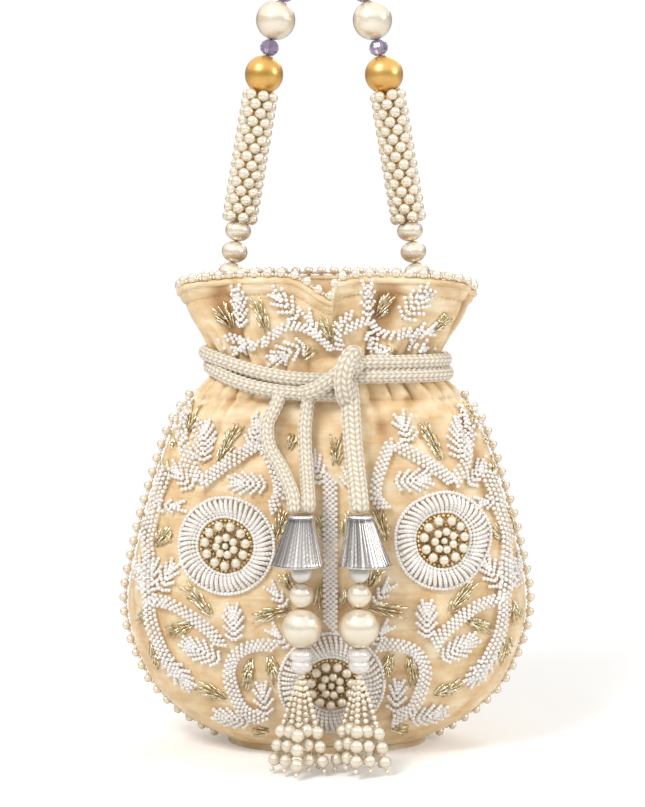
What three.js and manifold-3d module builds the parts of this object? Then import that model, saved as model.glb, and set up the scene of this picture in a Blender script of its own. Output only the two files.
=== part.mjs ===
// Potli bag: a gathered silk pouch with a beaded handle and two tassels on its drawstring.
// Millimetres, +Z up, front towards -Y, origin on the floor under the middle of the base.
import * as THREE from 'three';
import { mergeVertices } from 'three/addons/utils/BufferGeometryUtils.js';
import { ParametricGeometry } from 'three/addons/geometries/ParametricGeometry.js';
import Module from 'manifold-3d';

const wasm = await Module();
wasm.setup();

// Fits shared by all pieces
const CLEARANCE = 0.3;
const WELD = 1e-3;

// Pouch: its outer form as rows of height, half width and half depth, and its lined cloth wall
const POUCH_ROWS = [
  [3.3, 46, 26.5], [9, 57, 31.5], [18, 70, 37], [32, 82, 41.5], [62, 91.7, 45], [95, 86.5, 42],
  [125, 78, 37.5], [148, 69.5, 30.5], [162, 59.5, 26], [174, 50, 24], [184, 54, 25], [197, 61.5, 27], [210, 67, 30],
];
const WALL = 2;
const SQUARENESS = 2.5;
const ACROSS = 30;
const FOLDS = 6;
const FOLD_DEPTH = 2;
const GATHER_START = 150;
const GATHER_FULL = 172;
const FRILL_START = 186;
const FRONT_RISE = 4.5;
const SPLIT_X = 2;
const SPLIT_DROP = 9;
const SPLIT_WIDTH = 6;
const BOARD_THICKNESS = 3;

// Pearl edging on the seams and the hem
const EDGE_PEARL = 2.1;
const RIM_PEARL = 1.9;
const FRONT_RIM_LIFT = 0.9;
const BACK_RIM_LIFT = 0.5;
const EDGE_PITCH = 7.8;
const EDGE_THREAD = 0.4;
const SEAM_FOOT = 4.6;
const SEAM_TOP = 160;

// Drawstring round the neck, with its knot
const NECK_CORD = 3;
const NECK_SPACING = 6.4;
const NECK_SIDE_Z = 181.2;
const NECK_RIGHT_Z = 178;
const NECK_LEFT_END_Z = 169.7;
const NECK_REST = FOLD_DEPTH + 1.4;
const KNOT_LEFT = -5.9;
const KNOT_RIGHT = 6.4;
const KNOT_Y = -31.8;
const KNOT_Z = 166;
const KNOT_HALF_DEPTH = 4.8;
const KNOT_HALF_HEIGHT = 12;

// Handle: a wire-cored thread from one side of the mouth over to the other, strung with beads
const PIVOT_Z = 211;
const PIVOT_X = 43.4;
const PIVOT_GAP = 0.45;
const HANDLE_SHIFT = -1.4;
const HANDLE_SHAPE = [[36.2, 44.5], [29, 89.5], [25, 109.5], [22, 123.5], [17.6, 136.5], [10.3, 147.5]];
const HANDLE_SHAPE_TOP = [0, 151.5];
const HANDLE_THREAD = 0.6;
const HANDLE_BORE = 1.5;
const ARCH_BORE = 1.8;
const LEADER_FOOT_Z = 173;
const LEADER_LEAN = 1.8;
const LEADER_BEND = 18;
const SMALL_PEARL = 5.9;
const SMALL_PEARL_PITCH = 9.8;
const SMALL_PEARLS = 3;
const HANDLE_START = 0.6;
const TUBE_LENGTH = 57.4;
const TUBE_RADIUS = 8.3;
const TUBE_BORE = 2;
const TUBE_ROWS = 8;
const TUBE_PEARLS_ROUND = 5;
const TUBE_BUMP = 1.1;
const GOLD_BEAD = 8.7;
const CRYSTAL = 4.3;
const CRYSTAL_HALF_LENGTH = 3.4;
const LARGE_PEARL = 8.9;
const ARCH_PEARL = 4.93;
const ARCH_PEARLS = 4;

// Tassels on the drawstring's two ends
const TASSEL_Y = -58;
const LEFT_TASSEL_X = -11.2;
const RIGHT_TASSEL_X = 13.8;
const CONE_TOP_Z = 113.3;
const CONE_HEIGHT = 22;
const CONE_TOP = 5.2;
const CONE_BOTTOM = 11.8;
const CONE_WALL = 0.8;
const SPACER = 4.3;
const SPACER_HALF_LENGTH = 4.2;
const UPPER_PEARL = 5.3;
const BIG_PEARL = 8.7;
const LOWER_BEAD = 4.7;
const LOWER_BEAD_HALF_LENGTH = 5.4;
const TASSEL_BORE = 0.9;
const TASSEL_THREAD = 0.5;
const STRANDS = 6;
const STRAND_SPLAY = 10.6;
const SEED_ROPE = 0.95;
const SEED_LENGTH = 16.6;
const FRINGE_PEARL = 3.2;
const FRINGE_PEARLS = 3;
const FRINGE_KNOT = 3;
const TIP_BEAD = 1.1;

// Tail cords, as routes chosen by hand; both left strands run into the left cone
const TAIL_STRAND = 2.8;
const BROAD_TAIL = 3.4;
const LEFT_INNER_ROUTE = [
  [-9, -33, 156.6], [-10, -36, 148], [-9.6, -40.5, 137], [-8.8, -48, 127], [-8.3, -56, 120.5],
  [-8.2, -58, 116.5], [-8.2, -58, 113.7],
];
const LEFT_OUTER_ROUTE = [
  [-23, -33, 156.6], [-26.5, -35.5, 150], [-25.5, -39.5, 141], [-20, -46, 132], [-15.4, -55, 122.5],
  [-14.2, -58, 116.5], [-14.2, -58, 113.7],
];
const RIGHT_ROUTE = [
  [10.1, -34, 162], [10.6, -36.5, 153], [11.2, -40, 143], [12.2, -46, 132.5], [13.3, -55, 122.5],
  [13.8, -58, 116.5], [13.8, -58, 113.7],
];

// Embroidery: medallions and beaded ropes on the front panel, placed by across and height
const MEDALLIONS = [
  { name: 'left', x: -44.6, z: 96.8, outer: 21.5, inner: 12 },
  { name: 'right', x: 51, z: 98.9, outer: 21.5, inner: 12 },
  { name: 'lower', x: 1.8, z: 36, outer: 23.5, inner: 12 },
];
const RING_HEIGHT = 2.6;
const HEART_INSET = 1.2;
const HEART_HEIGHT = 4.2;
const HEART_PETALS = 8;
const ROPE = 1.5;
const STEM_ROPE = 2.5;
const STEM_X = 1.3;
const STEM_BOTTOM = 64;
const STEM_TOP = 128;
const UPPER_VINE = [
  [[-55.9, 123.7], [-62, 134], [-64.5, 142], [-63, 148]],
  [[-55.9, 123.7], [-44.9, 131.7], [-34.8, 138.3], [-28.2, 140], [-22.9, 129], [-21.3, 119.5], [-25.3, 113]],
];
const OUTER_VINE = [
  [[-71, 128], [-75, 118], [-76.2, 111], [-78.2, 104], [-79.5, 98], [-79.2, 89.6], [-79.5, 80], [-78.5, 71.4]],
  [[-78.5, 71.4], [-66, 69.4], [-55.4, 62], [-50, 57.5], [-46.6, 52.5]],
  [[-78.5, 71.4], [-78, 63], [-75.5, 54], [-71, 45.3], [-66, 37]],
];
const LOWER_VINE = [
  [[-21.5, 53.4], [-28.8, 54], [-36.5, 52], [-41.4, 47], [-43, 40], [-41, 31.5], [-37, 24], [-28.5, 18]],
];

const finish = (color, roughness, metalness = 0) => new THREE.MeshStandardMaterial({ color, roughness, metalness });
const silk = finish(0xb79f74, 0.55);
const whiteBeads = finish(0xefeae0, 0.35);
const pearl = finish(0xf3eee4, 0.22);
const goldPearl = finish(0xb9a47c, 0.25);
const crystalGlass = finish(0xc9b6c9, 0.05);
const cordYarn = finish(0xddd0b4, 0.8);
const coneSilver = finish(0xc9c7c2, 0.3, 1);
const thread = finish(0xd8cdb8, 0.6);
const boardCloth = finish(0xa8916a, 0.7);

const bag = new THREE.Group();

// Shape helpers

// Welds a geometry's shared points, drops collapsed triangles and turns its faces outwards.
function closed(geometry) {
  const bare = new THREE.BufferGeometry();
  bare.setAttribute('position', geometry.getAttribute('position').clone());
  if (geometry.index) bare.setIndex(geometry.index.clone());
  const welded = mergeVertices(bare, WELD);
  const position = welded.getAttribute('position');
  const corner = (i) => new THREE.Vector3().fromBufferAttribute(position, i);
  const kept = [];
  let volume = 0;
  for (let i = 0; i < welded.index.count; i += 3) {
    const [a, b, c] = [0, 1, 2].map((k) => welded.index.getX(i + k));
    if (a === b || b === c || c === a) continue;
    kept.push(a, b, c);
    volume += corner(a).dot(corner(b).cross(corner(c)));
  }
  if (volume < 0) kept.reverse();
  welded.setIndex(kept);
  return welded;
}

function place(name, geometry, material, position = new THREE.Vector3(), along = new THREE.Vector3(0, 1, 0)) {
  const mesh = new THREE.Mesh(closed(geometry), material);
  mesh.name = name;
  mesh.position.copy(position);
  mesh.quaternion.setFromUnitVectors(new THREE.Vector3(0, 1, 0), along);
  bag.add(mesh);
}

function polygon(radius, sides) {
  const points = [];
  for (let i = 0; i < sides; i += 1) {
    const angle = (2 * Math.PI * i) / sides;
    points.push(new THREE.Vector2(radius * Math.cos(angle), radius * Math.sin(angle)));
  }
  return new THREE.Shape(points);
}

const vectors = (points) => points.map(([x, y, z]) => new THREE.Vector3(x, y, z));

function tube(points, radius, sides, steps) {
  const extrudePath = new THREE.CatmullRomCurve3(points, false, 'centripetal');
  return new THREE.ExtrudeGeometry(polygon(radius, sides), { steps, extrudePath, bevelEnabled: false });
}

// Beads on a thread as one string: rings of given radius at given distances along a curve.
function strung(curve, rings, sides) {
  const length = curve.getLength();
  let tangent = curve.getTangentAt(0);
  const normal = new THREE.Vector3(1, 0, 0);
  if (Math.abs(tangent.x) > 0.8) normal.set(0, 1, 0);
  normal.cross(tangent).normalize();
  const places = rings.map(([distance, radius]) => {
    const share = THREE.MathUtils.clamp(distance / length, 0, 1);
    const next = curve.getTangentAt(share);
    normal.applyQuaternion(new THREE.Quaternion().setFromUnitVectors(tangent, next));
    tangent = next;
    const side = new THREE.Vector3().crossVectors(next, normal);
    return { centre: curve.getPointAt(share), normal: normal.clone(), side, radius };
  });
  return new ParametricGeometry((u, v, target) => {
    const ring = places[THREE.MathUtils.clamp(Math.round(v * (rings.length - 1)), 0, rings.length - 1)];
    const angle = 2 * Math.PI * u;
    target.copy(ring.centre);
    target.addScaledVector(ring.normal, ring.radius * Math.cos(angle));
    target.addScaledVector(ring.side, ring.radius * Math.sin(angle));
  }, sides, rings.length - 1);
}

// Rings of a row of equal pearls, spread evenly over a length of thread.
function pearlRow(length, radius, pitch, threadRadius) {
  const count = Math.floor(length / pitch);
  const step = length / count;
  const rings = [[0, 0]];
  for (let i = 0; i < count; i += 1) {
    const middle = (i + 0.5) * step;
    rings.push([middle - 0.95 * radius, threadRadius], [middle, radius], [middle + 0.95 * radius, threadRadius]);
  }
  rings.push([length, 0]);
  return rings;
}

// A bored bead as a closed lathe profile about Y.
function bead(radius, halfLength, bore, sides = 8, arcs = 5) {
  const start = Math.asin(bore / radius);
  const profile = [];
  for (let i = 0; i <= arcs; i += 1) {
    const angle = start + ((Math.PI - 2 * start) * i) / arcs;
    profile.push(new THREE.Vector2(radius * Math.sin(angle), -halfLength * Math.cos(angle)));
  }
  profile.push(profile[0].clone());
  return new THREE.LatheGeometry(profile, sides);
}

function solid(geometry) {
  const welded = closed(geometry);
  const vertProperties = new Float32Array(welded.getAttribute('position').array);
  const triVerts = new Uint32Array(welded.index.array);
  return new wasm.Manifold(new wasm.Mesh({ numProp: 3, vertProperties, triVerts }));
}

function joined(geometries) {
  const whole = geometries.map(solid).reduce((sum, next) => sum.add(next));
  const mesh = whole.getMesh();
  const geometry = new THREE.BufferGeometry();
  geometry.setAttribute('position', new THREE.BufferAttribute(new Float32Array(mesh.vertProperties), mesh.numProp));
  geometry.setIndex(new THREE.BufferAttribute(new Uint32Array(mesh.triVerts), 1));
  return geometry;
}

// Pouch form

const formCurve = new THREE.CatmullRomCurve3(
  POUCH_ROWS.map(([z, halfWidth, halfDepth]) => new THREE.Vector3(halfWidth, halfDepth, z)), false, 'centripetal');

function section(z) {
  let low = 0;
  let high = 1;
  for (let i = 0; i < 40; i += 1) {
    const middle = (low + high) / 2;
    if (formCurve.getPoint(middle).z < z) low = middle;
    else high = middle;
  }
  const point = formCurve.getPoint(low);
  return { halfWidth: point.x, halfDepth: point.y };
}

const power = (value) => Math.sign(value) * Math.abs(value) ** (2 / SQUARENESS);
const RIM_Z = POUCH_ROWS.at(-1)[0];

// Hem height over the flat rim: higher in front, with the split where the left flap dives.
function rimRise(x, side, angle) {
  const crown = FRONT_RISE * Math.sin(angle);
  const split = side < 0 ? SPLIT_DROP * Math.exp(-(((x - SPLIT_X) / SPLIT_WIDTH) ** 2)) : 0;
  return crown - split;
}

// A point of one panel's wall at an angle from the left seam, a row height and a depth into the wall.
function wallPoint(side, angle, rowZ, inset) {
  const { halfWidth, halfDepth } = section(rowZ);
  const gathered = THREE.MathUtils.smoothstep(rowZ, GATHER_START, GATHER_FULL);
  const fold = (FOLD_DEPTH * gathered * Math.sin(2 * FOLDS * angle)) / 2;
  const x = -(halfWidth - inset + fold) * power(Math.cos(angle));
  const y = side * ((halfDepth - inset + fold) * power(Math.sin(angle)) + CLEARANCE / 2);
  const share = THREE.MathUtils.smoothstep(rowZ, FRILL_START, RIM_Z);
  return new THREE.Vector3(x, y, rowZ + share * rimRise(x, side, angle));
}

const wallAt = (u) => WALL * Math.min(1, 10 * Math.min(u, 1 - u));

function panel(side) {
  const rows = POUCH_ROWS.map(([z]) => z);
  const loop = [...rows.map((z) => [z, 0]), ...rows.toReversed().map((z) => [z, 1]), [rows[0], 0]];
  return new ParametricGeometry((u, v, target) => {
    const [rowZ, inside] = loop[THREE.MathUtils.clamp(Math.round(v * (loop.length - 1)), 0, loop.length - 1)];
    const across = THREE.MathUtils.clamp(u, 0, 1);
    target.copy(wallPoint(side, Math.PI * across, rowZ, inside * wallAt(across)));
  }, ACROSS, loop.length - 1);
}

// A point over the front panel's outside, a given height off the cloth.
function overFront(x, z, height) {
  const at = (px, pz) => {
    const { halfWidth, halfDepth } = section(pz);
    const share = 1 - (Math.abs(px) / halfWidth) ** SQUARENESS;
    return new THREE.Vector3(px, -halfDepth * share ** (1 / SQUARENESS) - CLEARANCE / 2, pz);
  };
  const step = 0.5;
  const outward = at(x + step, z).sub(at(x - step, z)).cross(at(x, z + step).sub(at(x, z - step))).normalize();
  return at(x, z).addScaledVector(outward, height);
}

// Pouch panels and base board
place('front_panel', panel(-1), silk);
place('back_panel', panel(1), silk);
const foot = section(POUCH_ROWS[0][0]);
const boardOutline = new THREE.Shape();
boardOutline.absellipse(0, 0, foot.halfWidth, foot.halfDepth, 0, 2 * Math.PI);
const board = new THREE.ExtrudeGeometry(boardOutline, { depth: BOARD_THICKNESS, bevelEnabled: false, curveSegments: 28 });
place('base_board', board, boardCloth);

// Pearl edging
for (const [name, side] of [['left', -1], ['right', 1]]) {
  const points = [];
  for (let z = SEAM_FOOT; z <= SEAM_TOP; z += (SEAM_TOP - SEAM_FOOT) / 24) {
    const below = section(Math.max(z - 1, POUCH_ROWS[0][0]));
    const above = section(z + 1);
    const slope = new THREE.Vector2(-2, above.halfWidth - below.halfWidth).normalize();
    const off = EDGE_PEARL + CLEARANCE;
    points.push(new THREE.Vector3(side * (section(z).halfWidth - slope.x * off), 0, z + (slope.y * -off)));
  }
  const seam = new THREE.CatmullRomCurve3(points, false, 'centripetal');
  const rings = pearlRow(seam.getLength(), EDGE_PEARL, EDGE_PITCH, EDGE_THREAD);
  place(`side_pearls_${name}`, strung(seam, rings, 5), pearl);
}
for (const [name, side, lift] of [['front', -1, FRONT_RIM_LIFT], ['back', 1, BACK_RIM_LIFT]]) {
  const points = [];
  for (let u = 0.02; u < 0.985; u += 0.03) {
    const hem = wallPoint(side, Math.PI * u, RIM_Z, wallAt(u) / 2);
    points.push(hem.add(new THREE.Vector3(0, 0, RIM_PEARL + lift)));
  }
  const hem = new THREE.CatmullRomCurve3(points, false, 'centripetal');
  const rings = pearlRow(hem.getLength(), RIM_PEARL, EDGE_PITCH, EDGE_THREAD);
  place(`rim_pearls_${name}`, strung(hem, rings, 5), pearl);
}

// Drawstring: two turns round the neck, from the knot's left side round the back to its right side
for (const [name, drop] of [['upper', 0], ['lower', NECK_SPACING]]) {
  const points = [];
  const turns = 40;
  for (let i = 0; i <= turns; i += 1) {
    const share = i / turns;
    const sag = THREE.MathUtils.smoothstep(share, 0, 0.25);
    const right = THREE.MathUtils.smoothstep(share, 0.3, 0.7);
    const z = NECK_LEFT_END_Z + (NECK_SIDE_Z - NECK_LEFT_END_Z) * sag + (NECK_RIGHT_Z - NECK_SIDE_Z) * right - drop;
    const { halfWidth, halfDepth } = section(z);
    const reach = NECK_REST + NECK_CORD;
    const ends = [-(KNOT_LEFT - 2 * CLEARANCE), KNOT_RIGHT + 2 * CLEARANCE].map(
      (x) => Math.asin((x / (halfWidth + reach)) ** (SQUARENESS / 2)));
    const angle = THREE.MathUtils.lerp(ends[0], 2 * Math.PI - ends[1], share);
    const x = -(halfWidth + reach) * power(Math.sin(angle));
    points.push(new THREE.Vector3(x, -(halfDepth + reach) * power(Math.cos(angle)), z));
  }
  place(`neck_cord_${name}`, tube(points, NECK_CORD, 6, 30), cordYarn);
}
const knotOutline = new THREE.Shape();
knotOutline.absellipse(0, 0, KNOT_HALF_HEIGHT, KNOT_HALF_DEPTH, 0, 2 * Math.PI);
const knot = new THREE.ExtrudeGeometry(
  knotOutline, { depth: KNOT_RIGHT - KNOT_LEFT, bevelEnabled: false, curveSegments: 14 });
knot.rotateY(Math.PI / 2);
knot.translate(KNOT_LEFT, KNOT_Y, KNOT_Z);
place('drawstring_knot', knot, cordYarn);

// Handle leaders, tied in at the neck's side seams
for (const [name, side] of [['left', -1], ['right', 1]]) {
  const footX = section(LEADER_FOOT_Z).halfWidth - HANDLE_THREAD - 2 * CLEARANCE;
  const topX = side * PIVOT_X + HANDLE_SHIFT;
  const points = vectors([
    [side * footX, 0, LEADER_FOOT_Z], [topX + side * LEADER_LEAN, 0, PIVOT_Z - LEADER_BEND],
    [topX, 0, PIVOT_Z - PIVOT_GAP],
  ]);
  place(`${name}_handle_leader`, tube(points, HANDLE_THREAD, 6, 6), thread);
}

// Handle thread and its beads, strung upwards from each end; its height is what the beads need
const legLengths = [
  SMALL_PEARLS * SMALL_PEARL_PITCH, TUBE_LENGTH, 2 * GOLD_BEAD, 2 * CRYSTAL_HALF_LENGTH,
  2 * LARGE_PEARL, 2 * CRYSTAL_HALF_LENGTH,
];
const legLength = legLengths.reduce((sum, length) => sum + length + CLEARANCE, HANDLE_START);
const archPitch = 2 * (ARCH_PEARL + CLEARANCE);
const beadedLength = 2 * legLength + ARCH_PEARLS * archPitch;

function handleRoute(stretch) {
  const foot = PIVOT_Z + PIVOT_GAP;
  const rise = ([x, height]) => [x, 0, PIVOT_Z + height * stretch];
  const rightHalf = [[PIVOT_X, 0, foot], ...HANDLE_SHAPE.map(rise)];
  const leftHalf = rightHalf.map(([x, y, z]) => [-x, y, z]);
  const points = [...leftHalf, rise(HANDLE_SHAPE_TOP), ...rightHalf.toReversed()];
  return vectors(points.map(([x, y, z]) => [x + HANDLE_SHIFT, y, z]));
}

function handleLine(points) {
  const line = new THREE.CatmullRomCurve3(points, false, 'centripetal');
  line.arcLengthDivisions = 800;
  return line;
}

const STRETCH_STEPS = 8;
let handleStretch = 1;
for (let i = 0; i < STRETCH_STEPS; i += 1) {
  handleStretch *= beadedLength / handleLine(handleRoute(handleStretch)).getLength();
}
const handlePath = handleRoute(handleStretch);
const handleCurve = handleLine(handlePath);
const handleLength = handleCurve.getLength();
place('handle_thread', tube(handlePath, HANDLE_THREAD, 5, 52), thread);

function onHandle(name, geometry, material, distance) {
  const share = distance / handleLength;
  place(name, geometry, material, handleCurve.getPointAt(share), handleCurve.getTangentAt(share));
}

// Three small pearls as one piece, with a bore through all of them.
function smallPearls() {
  const profile = [];
  for (let i = 0; i < SMALL_PEARLS; i += 1) {
    const middle = (i - (SMALL_PEARLS - 1) / 2) * SMALL_PEARL_PITCH;
    const half = SMALL_PEARL_PITCH / 2;
    profile.push([HANDLE_BORE + 1, middle - half], [SMALL_PEARL * 0.9, middle - half / 2.2]);
    profile.push([SMALL_PEARL * 0.9, middle + half / 2.2]);
  }
  const end = (SMALL_PEARLS * SMALL_PEARL_PITCH) / 2;
  profile.push([HANDLE_BORE + 1, end], [HANDLE_BORE, end], [HANDLE_BORE, -end], [HANDLE_BORE + 1, -end]);
  return new THREE.LatheGeometry(profile.map(([x, y]) => new THREE.Vector2(x, y)), 8);
}

// Woven tube: staggered rows of pearls round a bore.
function wovenTube() {
  const rows = 2 * TUBE_ROWS;
  const sides = 2 * TUBE_PEARLS_ROUND;
  const stacks = rows + 2;
  return new ParametricGeometry((u, v, target) => {
    const row = THREE.MathUtils.clamp(Math.round(v * stacks), 0, stacks);
    const column = Math.round(u * sides);
    const inside = row === rows + 1;
    const level = row > rows ? (row === rows + 1 ? rows : 0) : row;
    const stagger = (level >> 1) % 2;
    const bump = (column + level + stagger) % 2 === 0 ? TUBE_BUMP : -TUBE_BUMP;
    let radius = TUBE_RADIUS - TUBE_BUMP + (level % 2 === 1 ? bump : -TUBE_BUMP / 2);
    if (inside) radius = TUBE_BORE;
    const angle = (2 * Math.PI * (column % sides)) / sides;
    target.set(radius * Math.cos(angle), TUBE_LENGTH * (level / rows - 0.5), radius * Math.sin(angle));
  }, sides, stacks);
}

const legBeads = [
  ['small_pearls', smallPearls, pearl],
  ['pearl_tube', wovenTube, pearl],
  ['gold_bead', () => bead(GOLD_BEAD, GOLD_BEAD, HANDLE_BORE), goldPearl],
  ['lower_crystal', () => bead(CRYSTAL, CRYSTAL_HALF_LENGTH, HANDLE_BORE, 8, 3), crystalGlass],
  ['large_pearl', () => bead(LARGE_PEARL, LARGE_PEARL, HANDLE_BORE), pearl],
  ['upper_crystal', () => bead(CRYSTAL, CRYSTAL_HALF_LENGTH, HANDLE_BORE, 8, 3), crystalGlass],
];
let strungLength = HANDLE_START;
legBeads.forEach(([name, shape, material], i) => {
  const middle = strungLength + legLengths[i] / 2;
  onHandle(`left_${name}`, shape(), material, middle);
  onHandle(`right_${name}`, shape(), material, handleLength - middle);
  strungLength += legLengths[i] + CLEARANCE;
});
for (let i = 0; i < ARCH_PEARLS; i += 1) {
  const shape = bead(ARCH_PEARL, ARCH_PEARL, ARCH_BORE);
  onHandle(`arch_pearl_${i + 1}`, shape, pearl, legLength + (i + 0.5) * archPitch);
}

// Tassels
place('left_inner_cord', tube(vectors(LEFT_INNER_ROUTE), TAIL_STRAND, 8, 12), cordYarn);
place('left_outer_cord', tube(vectors(LEFT_OUTER_ROUTE), TAIL_STRAND, 8, 12), cordYarn);
place('right_cord', tube(vectors(RIGHT_ROUTE), BROAD_TAIL, 8, 12), cordYarn);

function coneCap() {
  const roof = 1.2;
  const profile = [
    [TASSEL_BORE, 0], [TASSEL_BORE, -roof], [CONE_TOP - CONE_WALL, -roof], [CONE_BOTTOM - CONE_WALL, -CONE_HEIGHT],
    [CONE_BOTTOM, -CONE_HEIGHT], [CONE_TOP, 0], [TASSEL_BORE, 0],
  ];
  return new THREE.LatheGeometry(profile.map(([x, y]) => new THREE.Vector2(x, y)), 14);
}

// Fringe: strands of seed beads, pearls and a tip bead, tied together in one knot at the top.
function fringe(top) {
  const pieces = [new THREE.SphereGeometry(FRINGE_KNOT, 8, 5).rotateX(Math.PI / 2).translate(0, 0, top - FRINGE_KNOT)];
  for (let i = 0; i < STRANDS; i += 1) {
    const angle = (2 * Math.PI * (i + 0.5)) / STRANDS;
    const reach = STRAND_SPLAY * (i % 2 ? 1 : 0.8);
    const drop = SEED_LENGTH + 2 * FRINGE_PEARL * FRINGE_PEARLS + 2 * TIP_BEAD + (i % 3);
    const start = top - FRINGE_KNOT;
    const out = (share) => [reach * share * Math.cos(angle), reach * share * Math.sin(angle)];
    const route = new THREE.CatmullRomCurve3(vectors([
      [...out(0.12), start], [...out(0.55), start - 0.35 * drop], [...out(1), start - drop],
    ]), false, 'centripetal');
    const length = route.getLength();
    const seeds = length - 2 * FRINGE_PEARL * FRINGE_PEARLS - 2 * TIP_BEAD;
    const rings = [[0, 0], [0.4, SEED_ROPE], [seeds - 0.2, SEED_ROPE]];
    for (let k = 0; k < FRINGE_PEARLS; k += 1) {
      const middle = seeds + (2 * k + 1) * FRINGE_PEARL;
      rings.push([middle - 0.45 * FRINGE_PEARL, 0.9 * FRINGE_PEARL], [middle + 0.45 * FRINGE_PEARL, 0.9 * FRINGE_PEARL]);
      rings.push([middle + 0.97 * FRINGE_PEARL, SEED_ROPE]);
    }
    rings.push([length - TIP_BEAD, TIP_BEAD], [length, 0]);
    pieces.push(strung(route, rings, 4));
  }
  return joined(pieces);
}

const UP = new THREE.Vector3(0, 1, 0);
const beadGeometryUp = (geometry) => geometry.rotateX(Math.PI / 2);
for (const [name, x] of [['left', LEFT_TASSEL_X], ['right', RIGHT_TASSEL_X]]) {
  const at = (z) => new THREE.Vector3(x, TASSEL_Y, z);
  place(`${name}_cone_cap`, beadGeometryUp(coneCap()), coneSilver, at(CONE_TOP_Z), UP);
  let z = CONE_TOP_Z - CONE_HEIGHT + 1;
  const stack = [
    ['spacer_bead', SPACER, SPACER_HALF_LENGTH, crystalGlass], ['upper_pearl', UPPER_PEARL, UPPER_PEARL, pearl],
    ['big_pearl', BIG_PEARL, BIG_PEARL, pearl], ['lower_bead', LOWER_BEAD, LOWER_BEAD_HALF_LENGTH, pearl],
  ];
  for (const [piece, radius, half, material] of stack) {
    z -= half + CLEARANCE;
    place(`${name}_${piece}`, beadGeometryUp(bead(radius, half, TASSEL_BORE)), material, at(z), UP);
    z -= half;
  }
  const threadTop = CONE_TOP_Z - CLEARANCE;
  const core = new THREE.CylinderGeometry(TASSEL_THREAD, TASSEL_THREAD, threadTop - z, 6);
  place(`${name}_tassel_thread`, beadGeometryUp(core), thread, at((threadTop + z) / 2), UP);
  place(`${name}_fringe`, fringe(0), pearl, at(z - CLEARANCE), UP);
}

// Embroidery on the front panel
for (const { name, x, z, outer, inner } of MEDALLIONS) {
  const middle = (inner + outer) / 2;
  const crown = RING_HEIGHT * 0.7;
  const loop = [
    [inner, CLEARANCE], [inner, crown], [middle, RING_HEIGHT], [outer, crown], [outer, CLEARANCE], [middle, CLEARANCE],
    [inner, CLEARANCE],
  ];
  const around = (u) => 2 * Math.PI * u;
  place(`${name}_medallion_ring`, new ParametricGeometry((u, v, target) => {
    const [reach, height] = loop[THREE.MathUtils.clamp(Math.round(v * (loop.length - 1)), 0, loop.length - 1)];
    target.copy(overFront(x + reach * Math.cos(around(u)), z + reach * Math.sin(around(u)), height));
  }, 20, loop.length - 1), whiteBeads);
  const heart = inner - HEART_INSET;
  const dome = [[0, HEART_HEIGHT], [0.45, HEART_HEIGHT * 0.8], [0.8, HEART_HEIGHT], [1, 1.6], [1, CLEARANCE], [0, CLEARANCE]];
  place(`${name}_pearl_heart`, new ParametricGeometry((u, v, target) => {
    const [share, height] = dome[THREE.MathUtils.clamp(Math.round(v * (dome.length - 1)), 0, dome.length - 1)];
    const petal = 1 - 0.12 * (Math.round(u * 2 * HEART_PETALS) % 2);
    const reach = heart * share * petal;
    target.copy(overFront(x + reach * Math.cos(around(u)), z + reach * Math.sin(around(u)), height));
  }, 2 * HEART_PETALS, dome.length - 1), pearl);
}

function ropeOnFront(points, radius, mirror) {
  const onCloth = points.map(([x, z]) => overFront(mirror * x, z, radius + CLEARANCE));
  return tube(onCloth, radius, 5, 2 * points.length);
}
for (const [name, mirror] of [['left', 1], ['right', -1]]) {
  for (const [piece, routes] of [['upper_vine', UPPER_VINE], ['outer_vine', OUTER_VINE], ['lower_vine', LOWER_VINE]]) {
    place(`${name}_${piece}`, joined(routes.map((route) => ropeOnFront(route, ROPE, mirror))), whiteBeads);
  }
}
const stemMiddle = (STEM_BOTTOM + STEM_TOP) / 2;
const stemRoute = [[STEM_X, STEM_BOTTOM], [STEM_X, stemMiddle], [STEM_X, STEM_TOP]];
place('centre_stem', ropeOnFront(stemRoute, STEM_ROPE, 1), whiteBeads);

export default bag;
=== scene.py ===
import math
import random

import bmesh
import bpy
import numpy as np
from mathutils import Matrix, Vector
from mathutils import noise as cloud


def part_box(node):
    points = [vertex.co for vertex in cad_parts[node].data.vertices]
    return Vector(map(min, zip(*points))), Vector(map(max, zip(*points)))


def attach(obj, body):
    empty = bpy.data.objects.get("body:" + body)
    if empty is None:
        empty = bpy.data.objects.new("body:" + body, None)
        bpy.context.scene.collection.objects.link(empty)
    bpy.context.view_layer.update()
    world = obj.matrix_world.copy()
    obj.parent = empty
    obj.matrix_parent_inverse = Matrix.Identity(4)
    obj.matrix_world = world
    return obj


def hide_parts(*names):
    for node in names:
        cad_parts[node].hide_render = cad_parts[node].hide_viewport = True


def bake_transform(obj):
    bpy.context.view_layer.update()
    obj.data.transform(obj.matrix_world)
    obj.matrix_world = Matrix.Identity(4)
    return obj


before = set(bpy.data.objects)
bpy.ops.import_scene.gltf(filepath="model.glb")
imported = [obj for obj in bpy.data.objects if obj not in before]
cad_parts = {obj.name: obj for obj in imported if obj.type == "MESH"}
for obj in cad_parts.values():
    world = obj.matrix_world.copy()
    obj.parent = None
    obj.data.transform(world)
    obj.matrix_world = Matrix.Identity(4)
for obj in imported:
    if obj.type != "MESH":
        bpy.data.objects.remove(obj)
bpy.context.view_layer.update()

MM = 0.001

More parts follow.
